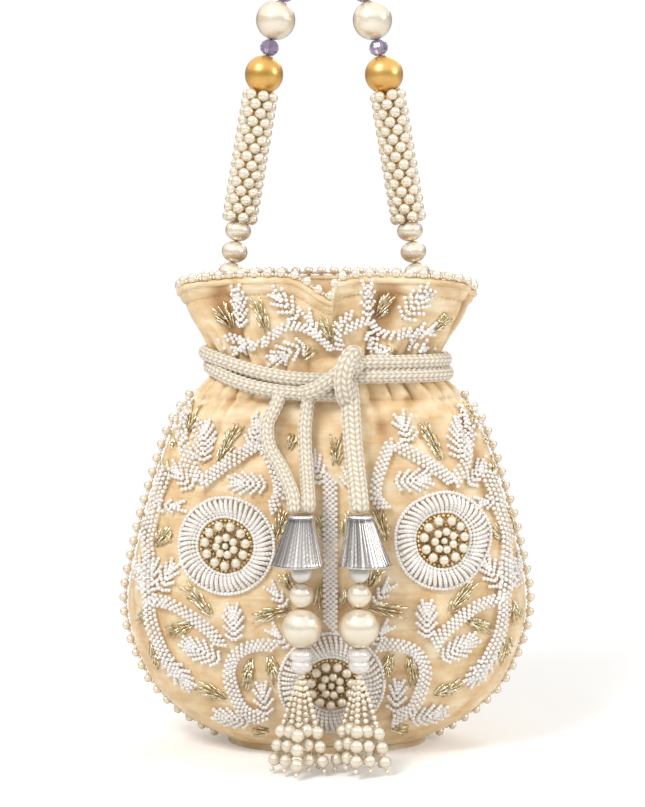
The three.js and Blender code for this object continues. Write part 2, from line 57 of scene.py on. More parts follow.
# Studio: a white paper sweep under soft light, seen by a camera a little above the bag's middle,
# as a maker's catalogue photograph is taken. None of it belongs to the bag.
PHOTO_HEIGHT_PX = 807
PHOTO_SCALE = 0.46 * MM
CAMERA_DISTANCE = 0.9
CAMERA_RISE = math.radians(4.5)
CAMERA_TARGET = Vector((-2.1 * MM, 0, 157 * MM))
SENSOR = 36
camera_data = bpy.data.cameras.new("camera")
camera_data.sensor_width = SENSOR
camera_data.lens = CAMERA_DISTANCE * SENSOR / (PHOTO_HEIGHT_PX * PHOTO_SCALE)
camera = bpy.data.objects.new("camera", camera_data)
camera_way = Vector((0, -math.cos(CAMERA_RISE), math.sin(CAMERA_RISE)))
camera.location = CAMERA_TARGET + CAMERA_DISTANCE * camera_way
camera.rotation_euler = (math.radians(90) - CAMERA_RISE, 0, 0)
bpy.context.collection.objects.link(camera)
bpy.context.scene.camera = camera
bpy.context.scene.view_settings.view_transform = "Standard"


def soft_lamp(name, place, aim, size, watts, tint):
    lamp_data = bpy.data.lights.new(name, "AREA")
    lamp_data.size = size
    lamp_data.energy = watts
    lamp_data.color = tint
    lamp = bpy.data.objects.new(name, lamp_data)
    lamp.location = place
    lamp.rotation_euler = (Vector(place) - Vector(aim)).to_track_quat("Z", "Y").to_euler()
    bpy.context.collection.objects.link(lamp)


soft_lamp("key_lamp", (-0.55, -0.75, 1.05), (0, 0, 0.12), 0.4, 9.5, (1, 0.98, 0.95))
soft_lamp("right_lamp", (0.95, -0.35, 0.6), (0, 0, 0.12), 0.3, 3.4, (1, 0.98, 0.95))
soft_lamp("back_lamp", (0.2, 0.9, 0.9), (0, 0, 0.2), 0.6, 3.0, (1, 1, 1))


def surface(node, values):
    """Sets the plain values of a shader or of another node."""
    for socket, value in values.items():
        node.inputs[socket].default_value = value


def wire(tree, pairs):
    """Links each output to its input."""
    for source, target in pairs:
        tree.links.new(source, target)


world = bpy.data.worlds.new("white_room")
bpy.context.scene.world = world
world.use_nodes = True
sky = world.node_tree
room_light = sky.nodes["Background"]
surface(room_light, {"Color": (1, 0.985, 0.96, 1), "Strength": 0.5})
white_room = sky.nodes.new("ShaderNodeBackground")
white_room.inputs["Color"].default_value = (1, 1, 1, 1)
mirrored_room = sky.nodes.new("ShaderNodeBackground")
direction = sky.nodes.new("ShaderNodeTexCoord")
heights = sky.nodes.new("ShaderNodeSeparateXYZ")
upward = sky.nodes.new("ShaderNodeMapRange")
upward.inputs["From Min"].default_value = -1
room_bands = sky.nodes.new("ShaderNodeValToRGB")
ROOM_BANDS = [(0.0, 0.95), (0.40, 0.85), (0.48, 0.3), (0.62, 0.25), (0.70, 1.15), (1.0, 1.2)]
while len(room_bands.color_ramp.elements) < len(ROOM_BANDS):
    room_bands.color_ramp.elements.new(0.5)
for band, (position, grey) in zip(room_bands.color_ramp.elements, ROOM_BANDS):
    band.position = position
    band.color = (grey, 0.985 * grey, 0.96 * grey, 1)
rays = sky.nodes.new("ShaderNodeLightPath")
glossy_room = sky.nodes.new("ShaderNodeMixShader")
seen_through = sky.nodes.new("ShaderNodeMath")
seen_through.operation = "MAXIMUM"
room = sky.nodes.new("ShaderNodeMixShader")
wire(sky, [
    (direction.outputs["Generated"], heights.inputs[0]),
    (heights.outputs["Z"], upward.inputs["Value"]),
    (upward.outputs["Result"], room_bands.inputs["Fac"]),
    (room_bands.outputs["Color"], mirrored_room.inputs["Color"]),
    (rays.outputs["Is Glossy Ray"], glossy_room.inputs[0]),
    (room_light.outputs[0], glossy_room.inputs[1]),
    (mirrored_room.outputs[0], glossy_room.inputs[2]),
    (rays.outputs["Is Camera Ray"], seen_through.inputs[0]),
    (rays.outputs["Is Transmission Ray"], seen_through.inputs[1]),
    (seen_through.outputs[0], room.inputs[0]),
    (glossy_room.outputs[0], room.inputs[1]),
    (white_room.outputs[0], room.inputs[2]),
    (room.outputs[0], sky.nodes["World Output"].inputs["Surface"]),
])


def fresh_material(name, colour, roughness):
    material = bpy.data.materials.new(name)
    material.use_nodes = True
    shader = material.node_tree.nodes["Principled BSDF"]
    surface(shader, {"Base Color": (*colour, 1), "Roughness": roughness})
    return material, material.node_tree, shader


paper_mesh = bmesh.new()
bmesh.ops.create_grid(paper_mesh, x_segments=1, y_segments=1, size=4)
paper_data = bpy.data.meshes.new("paper_floor")
paper_mesh.to_mesh(paper_data)
paper_floor = bpy.data.objects.new("paper_floor", paper_data)
bpy.context.collection.objects.link(paper_floor)
paper, paper_tree, paper_shader = fresh_material("white_paper", (0.93, 0.93, 0.93), 0.9)
PAPER_GLOW = 0.2
PAPER_NEAR = 0.14
PAPER_FAR = 0.42
paper_glow = paper_tree.nodes.new("ShaderNodeEmission")
paper_glow.inputs["Strength"].default_value = PAPER_GLOW
paper_white = paper_tree.nodes.new("ShaderNodeEmission")
paper_place = paper_tree.nodes.new("ShaderNodeTexCoord")
paper_reach = paper_tree.nodes.new("ShaderNodeVectorMath")
paper_reach.operation = "LENGTH"
paper_fade = paper_tree.nodes.new("ShaderNodeMapRange")
paper_fade.interpolation_type = "SMOOTHSTEP"
surface(paper_fade, {"From Min": PAPER_NEAR, "From Max": PAPER_FAR})
paper_sum = paper_tree.nodes.new("ShaderNodeAddShader")
paper_seen = paper_tree.nodes.new("ShaderNodeMixShader")
paper_rays = paper_tree.nodes.new("ShaderNodeLightPath")
paper_mix = paper_tree.nodes.new("ShaderNodeMixShader")
wire(paper_tree, [
    (paper_place.outputs["Object"], paper_reach.inputs[0]),
    (paper_reach.outputs["Value"], paper_fade.inputs["Value"]),
    (paper_shader.outputs[0], paper_sum.inputs[0]),
    (paper_glow.outputs[0], paper_sum.inputs[1]),
    (paper_fade.outputs["Result"], paper_seen.inputs[0]),
    (paper_sum.outputs[0], paper_seen.inputs[1]),
    (paper_white.outputs[0], paper_seen.inputs[2]),
    (paper_rays.outputs["Is Camera Ray"], paper_mix.inputs[0]),
    (paper_shader.outputs[0], paper_mix.inputs[1]),
    (paper_seen.outputs[0], paper_mix.inputs[2]),
    (paper_mix.outputs[0], paper_tree.nodes["Material Output"].inputs["Surface"]),
])
paper_data.materials.append(paper)

# Silk panels: two lined pieces of champagne raw silk, sewn together down the sides, gathered in
# at the neck by the drawstring and hemmed at the mouth. The front hem is split into two flaps.
FORM_ROWS = [
    (3.3, 46, 26.5), (9, 57, 31.5), (18, 70, 37), (32, 82, 41.5), (62, 91.7, 45), (95, 86.5, 42),
    (125, 78, 37.5), (148, 69.5, 30.5), (162, 59.5, 26), (174, 50, 24), (184, 54, 25), (197, 61.5, 27),
    (210, 67, 30),
]
FORM_POWER = 2.5
SEAM_GAP = 0.15
RIM_Z = 210
GATHER_FROM_Z = 112
GATHER_FULL_Z = 160
SHOULDER_Z = 154
TUCK_SEAM_Z = 160.5
NECK_Z = 169
NECK_BAND = 8.5
FRILL_FOOT_Z = 180
FRILL_FULL_Z = 196
HEM_GROOVE_Z = 204
FLAP_RISE = 4.5
SPLIT_X = 3.0
SPLIT_DROP = 10.5


def half_sizes(z):
    """Half width and half depth of the pouch at a height, as a smooth curve through its rows."""
    rows = FORM_ROWS
    last = len(rows) - 1
    z = min(max(z, rows[0][0]), rows[last][0])
    i = 0
    while i < last - 1 and z > rows[i + 1][0]:
        i += 1
    low, high = rows[i], rows[i + 1]
    before, after = rows[max(i - 1, 0)], rows[min(i + 2, last)]
    span = high[0] - low[0]
    t = (z - low[0]) / span
    sizes = []
    for k in (1, 2):
        slope_low = (high[k] - before[k]) / (high[0] - before[0])
        slope_high = (after[k] - low[k]) / (after[0] - low[0])
        a = (2 * t**3 - 3 * t**2 + 1) * low[k] + (t**3 - 2 * t**2 + t) * span * slope_low
        b = (3 * t**2 - 2 * t**3) * high[k] + (t**3 - t**2) * span * slope_high
        sizes.append(a + b)
    return sizes


def smooth_share(value, start, end):
    share = min(max((value - start) / (end - start), 0), 1)
    return share * share * (3 - 2 * share)


def hump(value, middle, width, power=2):
    return math.exp(-(((value - middle) / width) ** power))


def rounded(value):
    return math.copysign(abs(value) ** (2 / FORM_POWER), value)


def hem_rise(x, side, angle):
    rise = FLAP_RISE * math.sin(angle) - 2.5 * math.cos(angle) ** 8
    if side < 0:
        dive = smooth_share(x, SPLIT_X - 26, SPLIT_X) if x < SPLIT_X else 0
        lip = 0.25 * hump(x, SPLIT_X, 9) if x >= SPLIT_X else 0
        rise -= SPLIT_DROP * dive**1.6 + 8 * lip
    return rise


def pleats(side, angle, z):
    """How far gathers push the cloth in or out, in millimetres."""
    drawn = smooth_share(z, GATHER_FROM_Z, GATHER_FULL_Z)
    tight = hump(z, NECK_Z, NECK_BAND, 4)
    frill = smooth_share(z, FRILL_FOOT_Z, FRILL_FULL_Z)
    wander = 0.35 * cloud.noise(Vector((side * 7 + angle * 3, z * 0.02, 4)))
    fine = math.sin(44 * (angle + 0.12 * wander) + side)
    tuck = 1 - 2 * abs(math.sin(16 * (angle + 0.25 * wander) + side)) ** 0.45
    broad = math.sin(17 * (angle + wander * 0.5) + 2 * side)
    depth = drawn**2 * (0.5 * fine + 1.15 * broad) * (1 - 0.75 * frill) * (1 - 0.7 * tight)
    depth -= tight * (2.2 * tuck + 0.3 * fine)
    flounce = frill * (1.7 * math.sin(6 * angle + 0.6 + side) + 0.9 * math.sin(11 * angle + 2))
    slack = 1.2 * cloud.noise(Vector((angle * 4 + side * 5, z * 0.035, 1)))
    crumple = 0.7 * cloud.noise(Vector((angle * 9, z * 0.10 + side * 3, 8)))
    hold = smooth_share(math.sin(angle), 0.02, 0.25)
    shoulder = 1.5 * hump(z, SHOULDER_Z, 4.5) * smooth_share(z, SHOULDER_Z - 14, SHOULDER_Z + 2)
    seam = -1.1 * hump(z, TUCK_SEAM_Z, 1.2)
    hem = 0.8 * smooth_share(z, HEM_GROOVE_Z + 0.4, HEM_GROOVE_Z + 1.6) - 0.9 * hump(z, HEM_GROOVE_Z, 0.9)
    return hold * (depth + flounce + slack * smooth_share(z, 6, 30) + crumple + shoulder + seam) + hem


def cloth_point(side, angle, z):
    half_width, half_depth = half_sizes(z)
    push = pleats(side, angle, z)
    x = -(half_width + push) * rounded(math.cos(angle))
    y = side * ((half_depth + push) * rounded(math.sin(angle)) + SEAM_GAP)
    share = smooth_share(z, FRILL_FOOT_Z, RIM_Z)
    return Vector((x, y, z + share * hem_rise(x, side, angle))) * MM


def set_down(name, data, material):
    """A piece in the scene from its finished data."""
    data.materials.append(material)
    piece = bpy.data.objects.new(name, data)
    bpy.context.collection.objects.link(piece)
    return piece


def link_piece(name, shape, material, smooth=True):
    """Makes a finished mesh piece, its place in its mesh, from a bmesh."""
    data = bpy.data.meshes.new(name)
    for face in shape.faces:
        face.smooth = smooth
    shape.to_mesh(data)
    shape.free()
    return set_down(name, data, material)


def fasten(piece, body, node=None):
    """Fixes a piece to a body and hides the solid whose place it takes, if it has one."""
    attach(piece, body)
    if node:
        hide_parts(node)


def mixed_noise(tree, scale, stretch, detail=3.0):
    """Noise on Object coordinates, drawn out by a stretch along each axis."""
    place = tree.nodes.new("ShaderNodeTexCoord")
    turn = tree.nodes.new("ShaderNodeMapping")
    turn.inputs["Scale"].default_value = stretch
    grain = tree.nodes.new("ShaderNodeTexNoise")
    surface(grain, {"Scale": scale, "Detail": detail})
    tree.links.new(place.outputs["Object"], turn.inputs[0])
    tree.links.new(turn.outputs[0], grain.inputs["Vector"])
    return grain.outputs["Fac"]


def tone(tree, factor, stops):
    """A colour ramp driven by a factor, from a list of position and colour."""
    ramp = tree.nodes.new("ShaderNodeValToRGB")
    while len(ramp.color_ramp.elements) < len(stops):
        ramp.color_ramp.elements.new(0.5)
    for element, (position, colour) in zip(ramp.color_ramp.elements, stops):
        element.position = position
        element.color = (*colour, 1)
    tree.links.new(factor, ramp.inputs["Fac"])
    return ramp.outputs["Color"]


def mesh_value(tree, name):
    """A number kept on the mesh's corners, for a colour ramp."""
    value = tree.nodes.new("ShaderNodeAttribute")
    value.attribute_name = name
    return value.outputs["Fac"]


def raise_grain(tree, shader, height, strength, distance):
    bump = tree.nodes.new("ShaderNodeBump")
    surface(bump, {"Strength": strength, "Distance": distance})
    tree.links.new(height, bump.inputs["Height"])
    tree.links.new(bump.outputs["Normal"], shader.inputs["Normal"])


def grained(name, colour, roughness, scale, detail, stops, stretch=(1, 1, 1)):
    """A material whose colour wanders between a few stops with a fine grain."""
    material, tree, shader = fresh_material(name, colour, roughness)
    grain = mixed_noise(tree, scale, stretch, detail)
    tree.links.new(tone(tree, grain, stops), shader.inputs["Base Color"])
    return material, shader


def darken(tree, colour, shade, shader):
    """Multiplies a colour by a shade, for the shader's colour."""
    mix = tree.nodes.new("ShaderNodeMix")
    mix.data_type = "RGBA"
    mix.blend_type = "MULTIPLY"
    mix.inputs["Factor"].default_value = 1
    wire(tree, [(colour, mix.inputs["A"]), (shade, mix.inputs["B"])])
    tree.links.new(mix.outputs["Result"], shader.inputs["Base Color"])


silk, silk_tree, silk_shader = fresh_material("raw_silk", (0.8, 0.6, 0.33), 0.36)
slubs = mixed_noise(silk_tree, 60, (1, 1, 9), 5)
mottle = mixed_noise(silk_tree, 90, (1, 1, 1.5), 5)
blend_grain = silk_tree.nodes.new("ShaderNodeMath")
blend_grain.operation = "MULTIPLY_ADD"
blend_grain.inputs[1].default_value = 0.35
silk_tree.links.new(slubs, blend_grain.inputs[0])
silk_tree.links.new(mottle, blend_grain.inputs[2])
silk_colours = [(0.42, (0.70, 0.47, 0.24)), (0.62, (0.83, 0.61, 0.35)), (0.84, (0.96, 0.81, 0.57))]
# Painted shade: the silk's colour is darkened and browned where the cloth sinks into its gathers, pleats
# and creases.
painted_crease_colours = [(0.0, (1, 1, 1)), (0.25, (0.93, 0.89, 0.84)), (0.8, (0.56, 0.42, 0.30))]
painted_crease_shade = tone(silk_tree, mesh_value(silk_tree, "crease_shade"), painted_crease_colours)
darken(silk_tree, tone(silk_tree, blend_grain.outputs[0], silk_colours), painted_crease_shade, silk_shader)
surface(silk_shader, {"Sheen Weight": 0.25, "Sheen Roughness": 0.35, "Sheen Tint": (1, 0.9, 0.7, 1)})
weave = mixed_noise(silk_tree, 700, (0.5, 0.5, 5), 2)
raise_grain(silk_tree, silk_shader, weave, 0.5, 0.0003)

FRONT_GRID = (200, 180)
BACK_GRID = (140, 120)
# How far the cloth sinks below this pleat level, over this span, sets the painted shade in the silk's
# creases.
CREASE_SHADE_LEVEL = 0.4
CREASE_SHADE_SPAN = 3.2
PANEL_THICKNESS = 1.2 * MM


def panel(name, side, grid):
    sheet = bmesh.new()
    bmesh.ops.create_grid(sheet, x_segments=grid[0], y_segments=grid[1], size=1)
    low, high = FORM_ROWS[0][0], RIM_Z
    # Each corner keeps how far the cloth sinks into a crease, for the painted shade in the silk's colour.
    crease_shade = sheet.verts.layers.float.new("crease_shade")
    for corner in sheet.verts:
        angle = math.pi * (corner.co.x + 1) / 2
        z = low + (high - low) * (corner.co.y + 1) / 2
        corner[crease_shade] = max(0.0, CREASE_SHADE_LEVEL - pleats(side, angle, z)) / CREASE_SHADE_SPAN
        corner.co = cloth_point(side, angle, z)
    if side > 0:
        bmesh.ops.reverse_faces(sheet, faces=sheet.faces)
    piece = link_piece(name, sheet, silk)
    wall = piece.modifiers.new("lining", "SOLIDIFY")
    wall.thickness = PANEL_THICKNESS
    wall.offset = -1
    fasten(piece, "root")
    return piece


front_silk = panel("front_silk", -1, FRONT_GRID)
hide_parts("front_panel")
back_silk = panel("back_silk", 1, BACK_GRID)
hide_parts("back_panel")

# Base: a stiff oval board covered in the same silk, sewn in under the panels so that the bag stands.
# Its CAD solid has the true shape, so it only takes the silk.
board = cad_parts["base_board"]
board.data.materials.clear()
board.data.materials.append(silk)

# Hem: the mouth's edge of the silk is turned over a soft cord, front and back, which makes a roll.
# It is stitched down below with a darker sewing thread.
HEM_ROLL = 1.35 * MM
HEM_EDGE_DROP = 0.3
HEM_EDGE_INSET = -0.4 * MM
HEM_STITCH_DROP = 6.2
STITCH_PITCH = 2.2 * MM
STITCH_LENGTH = 1.3 * MM
STITCH_RADIUS = 0.22 * MM
HEM_STEPS = 240


def spaced(points, pitch):
    """Evenly spaced places, with their directions, along a line of points."""
    lengths = [(b - a).length for a, b in zip(points, points[1:])]
    total = sum(lengths)
    count = max(1, round(total / pitch))
    places = []
    i = 0
    passed = 0.0
    for k in range(count):
        at = (k + 0.5) * total / count
        while i < len(lengths) - 1 and passed + lengths[i] < at:
            passed += lengths[i]
            i += 1
        step = points[i + 1] - points[i]
        places.append((points[i] + step * ((at - passed) / max(lengths[i], 1e-9)), step.normalized()))
    return places


def hem_line(side, drop, outward):
    """The hem's edge, or a line a little below it, a small way off the cloth."""
    line = []
    for i in range(HEM_STEPS + 1):
        angle = math.pi * (0.004 + 0.992 * i / HEM_STEPS)
        at = cloth_point(side, angle, RIM_Z - drop)
        lean = Vector((at.x, 2.2 * at.y, 0)).normalized()
        line.append(at + lean * outward)
    return line


def bent_tube(name, points, radius, material, sides=3):
    """A round strand along a line, as a curve with a round section."""
    strand = bpy.data.curves.new(name, "CURVE")
    strand.dimensions = "3D"
    strand.bevel_depth = radius
    strand.bevel_resolution = sides
    strand.use_fill_caps = True
    spline = strand.splines.new("POLY")
    spline.points.add(len(points) - 1)
    for knot_point, place in zip(spline.points, points):
        knot_point.co = (*place, 1)
    return set_down(name, strand, material)


thread_colours = [(0.3, (0.5, 0.33, 0.14)), (0.7, (0.72, 0.53, 0.28))]
sewing_thread = grained("sewing_thread", (0.62, 0.43, 0.2), 0.7, 2500, 3, thread_colours)[0]


def bead_at(place, radius, along=None, stretch=1.0):
    """Where one bead goes: its middle, its size, and its thread's way through it."""
    turn = along.to_track_quat("Z", "Y").to_matrix().to_4x4() if along else Matrix()
    return Matrix.Translation(place) @ turn @ Matrix.Diagonal((radius, radius, radius * stretch, 1))


def strew(name, model, places, material):
    """Copies of one small model shape at many places, as a single piece."""
    pattern = bpy.data.meshes.new(name + "_pattern")
    model.to_mesh(pattern)
    model.free()
    corners = np.array([tuple(v.co) + (1.0,) for v in pattern.vertices])
    faces = [tuple(face.vertices) for face in pattern.polygons]
    bpy.data.meshes.remove(pattern)
    points = np.concatenate([corners @ np.array(place).T for place in places])[:, :3]
    step = len(corners)
    all_faces = [tuple(c + k * step for c in face) for k in range(len(places)) for face in faces]
    data = bpy.data.meshes.new(name)
    data.from_pydata(points, [], all_faces)
    data.shade_smooth()
    return set_down(name, data, material)


def ball(around, rings):
    """A bead's model: a ball of unit radius."""
    shape = bmesh.new()
    bmesh.ops.create_uvsphere(shape, u_segments=around, v_segments=rings, radius=1)
    return shape


for face_name, side in (("front", -1), ("back", 1)):
    roll = bent_tube(f"{face_name}_hem_roll", hem_line(side, HEM_EDGE_DROP, HEM_EDGE_INSET), HEM_ROLL, silk)
    fasten(roll, "root")
    stitches = []
    for place, along in spaced(hem_line(side, HEM_STITCH_DROP, 0.15 * MM), STITCH_PITCH):
        stitches.append(bead_at(place, STITCH_RADIUS, along, STITCH_LENGTH / STITCH_RADIUS / 2))
    sewn = strew(f"{face_name}_hem_stitches", ball(6, 5), stitches, sewing_thread)
    fasten(sewn, "root")

# Pearl edging: small cream pearls along the side seams and on top of the hem, with two smaller
# beads in each gap. They are coated glass, sewn on one by one.
EDGE_PEARL = 2.0 * MM
EDGE_PITCH = 6.7 * MM
SEAM_FOOT_Z = 4.4
SEAM_TOP_Z = 163
RIM_PEARL = 2.15 * MM
RIM_PITCH = 6.1 * MM
EDGE_SEED = 0.85 * MM
pearl, pearl_tree, pearl_shader = fresh_material("cream_pearl", (0.9, 0.83, 0.68), 0.27)
# Painted shade: the pearls' colour darkens from where they face the viewer towards their rims.
pearl_facing = pearl_tree.nodes.new("ShaderNodeLayerWeight")
pearl_facing.inputs["Blend"].default_value = 0.42
pearl_rim_shade_colours = [(0.0, (0.93, 0.86, 0.73)), (0.4, (0.88, 0.77, 0.60)), (0.85, (0.56, 0.45, 0.33))]
painted_pearl_rim_shade = tone(pearl_tree, pearl_facing.outputs["Facing"], pearl_rim_shade_colours)
nacre = mixed_noise(pearl_tree, 140, (1, 1, 1), 2)
nacre_tint = tone(pearl_tree, nacre, [(0.3, (0.93, 0.91, 0.88)), (0.7, (1, 1, 1))])
darken(pearl_tree, painted_pearl_rim_shade, nacre_tint, pearl_shader)
surface(pearl_shader, {"Metallic": 0.3, "Coat Weight": 0.9, "Coat IOR": 1.7, "Coat Roughness": 0.14})


def picot(line, radius, pitch, outward):
    """Pearls spaced along an edge, with two small beads sewn low in each gap."""
    places = spaced(line, pitch)
    row = [bead_at(place + outward(place) * 0.15 * radius, radius, along) for place, along in places]
    for (one, along), (other, _) in zip(places, places[1:]):
        middle = (one + other) / 2
        for share in (-0.14, 0.14):
            spot = middle + (other - one) * share - outward(middle) * 0.2 * radius
            row.append(bead_at(spot, EDGE_SEED, along))
    return row


def off_seam(place):
    return Vector((place.x, 0, 0.35 * (place.z - 0.09))).normalized()


def off_hem(place):
    return Vector((0, 0, 1))


for seam_name, side in (("left", -1), ("right", 1)):
    seam_line = []
    z = SEAM_FOOT_Z
    while z < SEAM_TOP_Z:
        half_width = half_sizes(z)[0]
        slope = half_sizes(z + 0.5)[0] - half_sizes(z - 0.5)[0]
        off = Vector((1, 0, -slope)).normalized() * (EDGE_PEARL + 0.25 * MM)
        seam_line.append(Vector((side * (half_width * MM + off.x), 0, z * MM + off.z)))
        z += 1
    row = picot(seam_line, EDGE_PEARL, EDGE_PITCH, off_seam)
    edging = strew(f"{seam_name}_seam_pearls", ball(12, 8), row, pearl)
    fasten(edging, "root", f"side_pearls_{seam_name}")
for face_name, side in (("front", -1), ("back", 1)):
    lift = Vector((0, 0, HEM_ROLL + 0.8 * RIM_PEARL))
    lifted = [place + lift for place in hem_line(side, HEM_EDGE_DROP, HEM_EDGE_INSET)]
    row = picot(lifted, RIM_PEARL, RIM_PITCH, off_hem)
    edging = strew(f"{face_name}_hem_pearls", ball(12, 8), row, pearl)
    fasten(edging, "root", f"rim_pearls_{face_name}")

# Beaded ropes: white seed beads couched over a cord core in slanting rows, sewn on the front panel
# as vines. Each rope is a few beads wide and stands up round from the silk.
SEED = 1.0
SEED_PITCH = 1.58
ROW_PITCH = 2.25
SLOPE_STEP = 1.2
PHOTO_X = 327
PHOTO_Y = 403.5
PHOTO_Y_HEIGHT = 162
PHOTO_STEP_X = 0.44
PHOTO_STEP_Z = 0.443
white_colours = [(0.3, (0.81, 0.77, 0.735)), (0.6, (0.93, 0.905, 0.88))]
white_glass, white_shader = grained("white_seed_beads", (0.94, 0.925, 0.91), 0.3, 400, 2, white_colours)
# The faint warm emission is painted light: it makes the white beads glow brighter than the lamps light
# them.
surface(white_shader, {
    "Coat Weight": 0.4,
    "Coat Roughness": 0.12,
    "Emission Color": (1, 0.97, 0.94, 1),
    "Emission Strength": 0.05,
})


def photo_spot(px, py):
    """Across and up on the front silk, in millimetres, for a place in the photograph."""
    return Vector(((px - PHOTO_X) * PHOTO_STEP_X, PHOTO_Y_HEIGHT - (py - PHOTO_Y) * PHOTO_STEP_Z))


def silk_point(x, z):
    half_width = half_sizes(z)[0]
    lean = min(abs(x) / half_width, 0.985) ** (FORM_POWER / 2)
    return cloth_point(-1, math.acos(math.copysign(lean, -x)), z)


def on_silk(spot, height):
    """A place over the front silk, a height off it in millimetres, with the way out of the cloth."""
    x, z = spot
    here = silk_point(x, z)
    across = silk_point(x + SLOPE_STEP, z) - silk_point(x - SLOPE_STEP, z)
    up = silk_point(x, z + SLOPE_STEP) - silk_point(x, z - SLOPE_STEP)
    out = across.cross(up).normalized()
    return here + out * (height * MM), out


def curve_through(points, steps):
    """Points on a smooth curve through a few chosen ones, with as many steps between each two."""
    line = []
    last = len(points) - 1
    for i in range(last):
        p0, p1 = points[max(i - 1, 0)], points[i]
        p2, p3 = points[i + 1], points[min(i + 2, last)]
        for k in range(steps):
            t = k / steps
            bend = (2 * p0 - 5 * p1 + 4 * p2 - p3) * t**2 + (3 * p1 - p0 - 3 * p2 + p3) * t**3
            line.append(0.5 * (2 * p1 + (p2 - p0) * t + bend))
    line.append(points[last])
    return line


def smooth_line(points, pitch):
    """Evenly spaced spots and directions along a curve through a few flat points."""
    return spaced([Vector((p[0], p[1], 0)) for p in curve_through(points, 12)], pitch)


def seed_at(spot, height):
    place, out = on_silk(spot, height)
    return bead_at(place, SEED * MM, out)


def rope_seeds(points, width, slant=0.75):
    """Slanting rows of seed beads, each laid over a round core like a satin stitch."""
    seeds = []
    count = max(2, round(width * math.hypot(1, slant) / SEED_PITCH))
    for place, along in smooth_line(points, ROW_PITCH):
        for k in range(count):
            side = ((k + 0.5) / count - 0.5) * width
            spot = Vector((place.x - along.y * side + along.x * slant * side,
                           place.y + along.x * side + along.y * slant * side))
            crown = math.sqrt(max(0.0, 1 - (1.9 * side / width) ** 2))
            seeds.append(seed_at(spot, 0.6 + 0.34 * width * crown))
    return seeds


def mirrored(points):
    return [Vector((-p[0], p[1])) for p in points]


UPPER_VINE = [
    [(-55.9, 123.7), (-60.5, 132), (-63.5, 141), (-64.3, 149), (-60, 157)],
    [(-55.9, 123.7), (-44.9, 131.7), (-34.8, 138.3), (-28.2, 140), (-22.9, 129), (-21.3, 119.5),
     (-25.3, 113)],
]
OUTER_VINE = [
    [(-71, 128), (-75, 118), (-76.2, 111), (-78.2, 104), (-79.5, 98), (-79.2, 89.6), (-79.5, 80),
     (-78.5, 71.4)],
    [(-78.5, 71.4), (-66, 69.4), (-55.4, 62), (-50, 57.5), (-46.6, 52.5)],
    [(-78.5, 71.4), (-78, 63), (-75.5, 54), (-71, 45.3), (-66, 37)],
]
LOWER_VINE = [
    [(-21.5, 53.4), (-28.8, 54), (-36.5, 52), (-41.4, 47), (-43, 40), (-41, 31.5), (-37, 24), (-28.5, 18)],
]
VINES = {"upper_vine": UPPER_VINE, "outer_vine": OUTER_VINE, "lower_vine": LOWER_VINE}
VINE_WIDTH = 5.6
for side_name, flip in (("left", False), ("right", True)):
    for vine_name, routes in VINES.items():
        seeds = []
        for chosen in routes:
            points = [Vector(p) for p in chosen]
            seeds += rope_seeds(mirrored(points) if flip else points, VINE_WIDTH)
        vine = strew(f"{side_name}_{vine_name}_beads", ball(7, 5), seeds, white_glass)
        fasten(vine, "root", f"{side_name}_{vine_name}")

STEM_WIDTH = 6.2
STEM_SLANT = 0.95
STEM_LINE = [Vector((1.3, 61)), Vector((1.3, 85)), Vector((1.3, 108)), Vector((1.3, 128))]
stem_seeds = rope_seeds(STEM_LINE, STEM_WIDTH, STEM_SLANT)
stem = strew("centre_stem_beads", ball(7, 5), stem_seeds, white_glass)
fasten(stem, "root", "centre_stem")

# Medallions: a padded ring of white beads in radial rows round a heart of cream pearls, which sit
# on a nest of gold beads. All of it is sewn through the front silk.
MEDALLIONS = [("left", -44.6, 96.8, 21.5, 12), ("right", 51, 98.9, 21.5, 12), ("lower", 1.8, 36, 23.5, 12)]
SPOKE_BEADS = 6
SPOKE_PITCH = 2.05
HEART_ROWS = [(0, 1, 1.6), (4.1, 7, 1.95), (8.7, 11, 2.2)]
NEST_ROWS = [(2.6, 9), (6.8, 22), (10.9, 36)]
gold_colours = [(0.35, (0.55, 0.37, 0.14)), (0.65, (0.86, 0.68, 0.36))]
gold_glass, gold_shader = grained("gold_beads", (0.7, 0.5, 0.2), 0.25, 500, 2, gold_colours)
surface(gold_shader, {"Metallic": 0.8})


def on_circle(x, z, reach, angle):
    return Vector((x + reach * math.cos(angle), z + reach * math.sin(angle)))


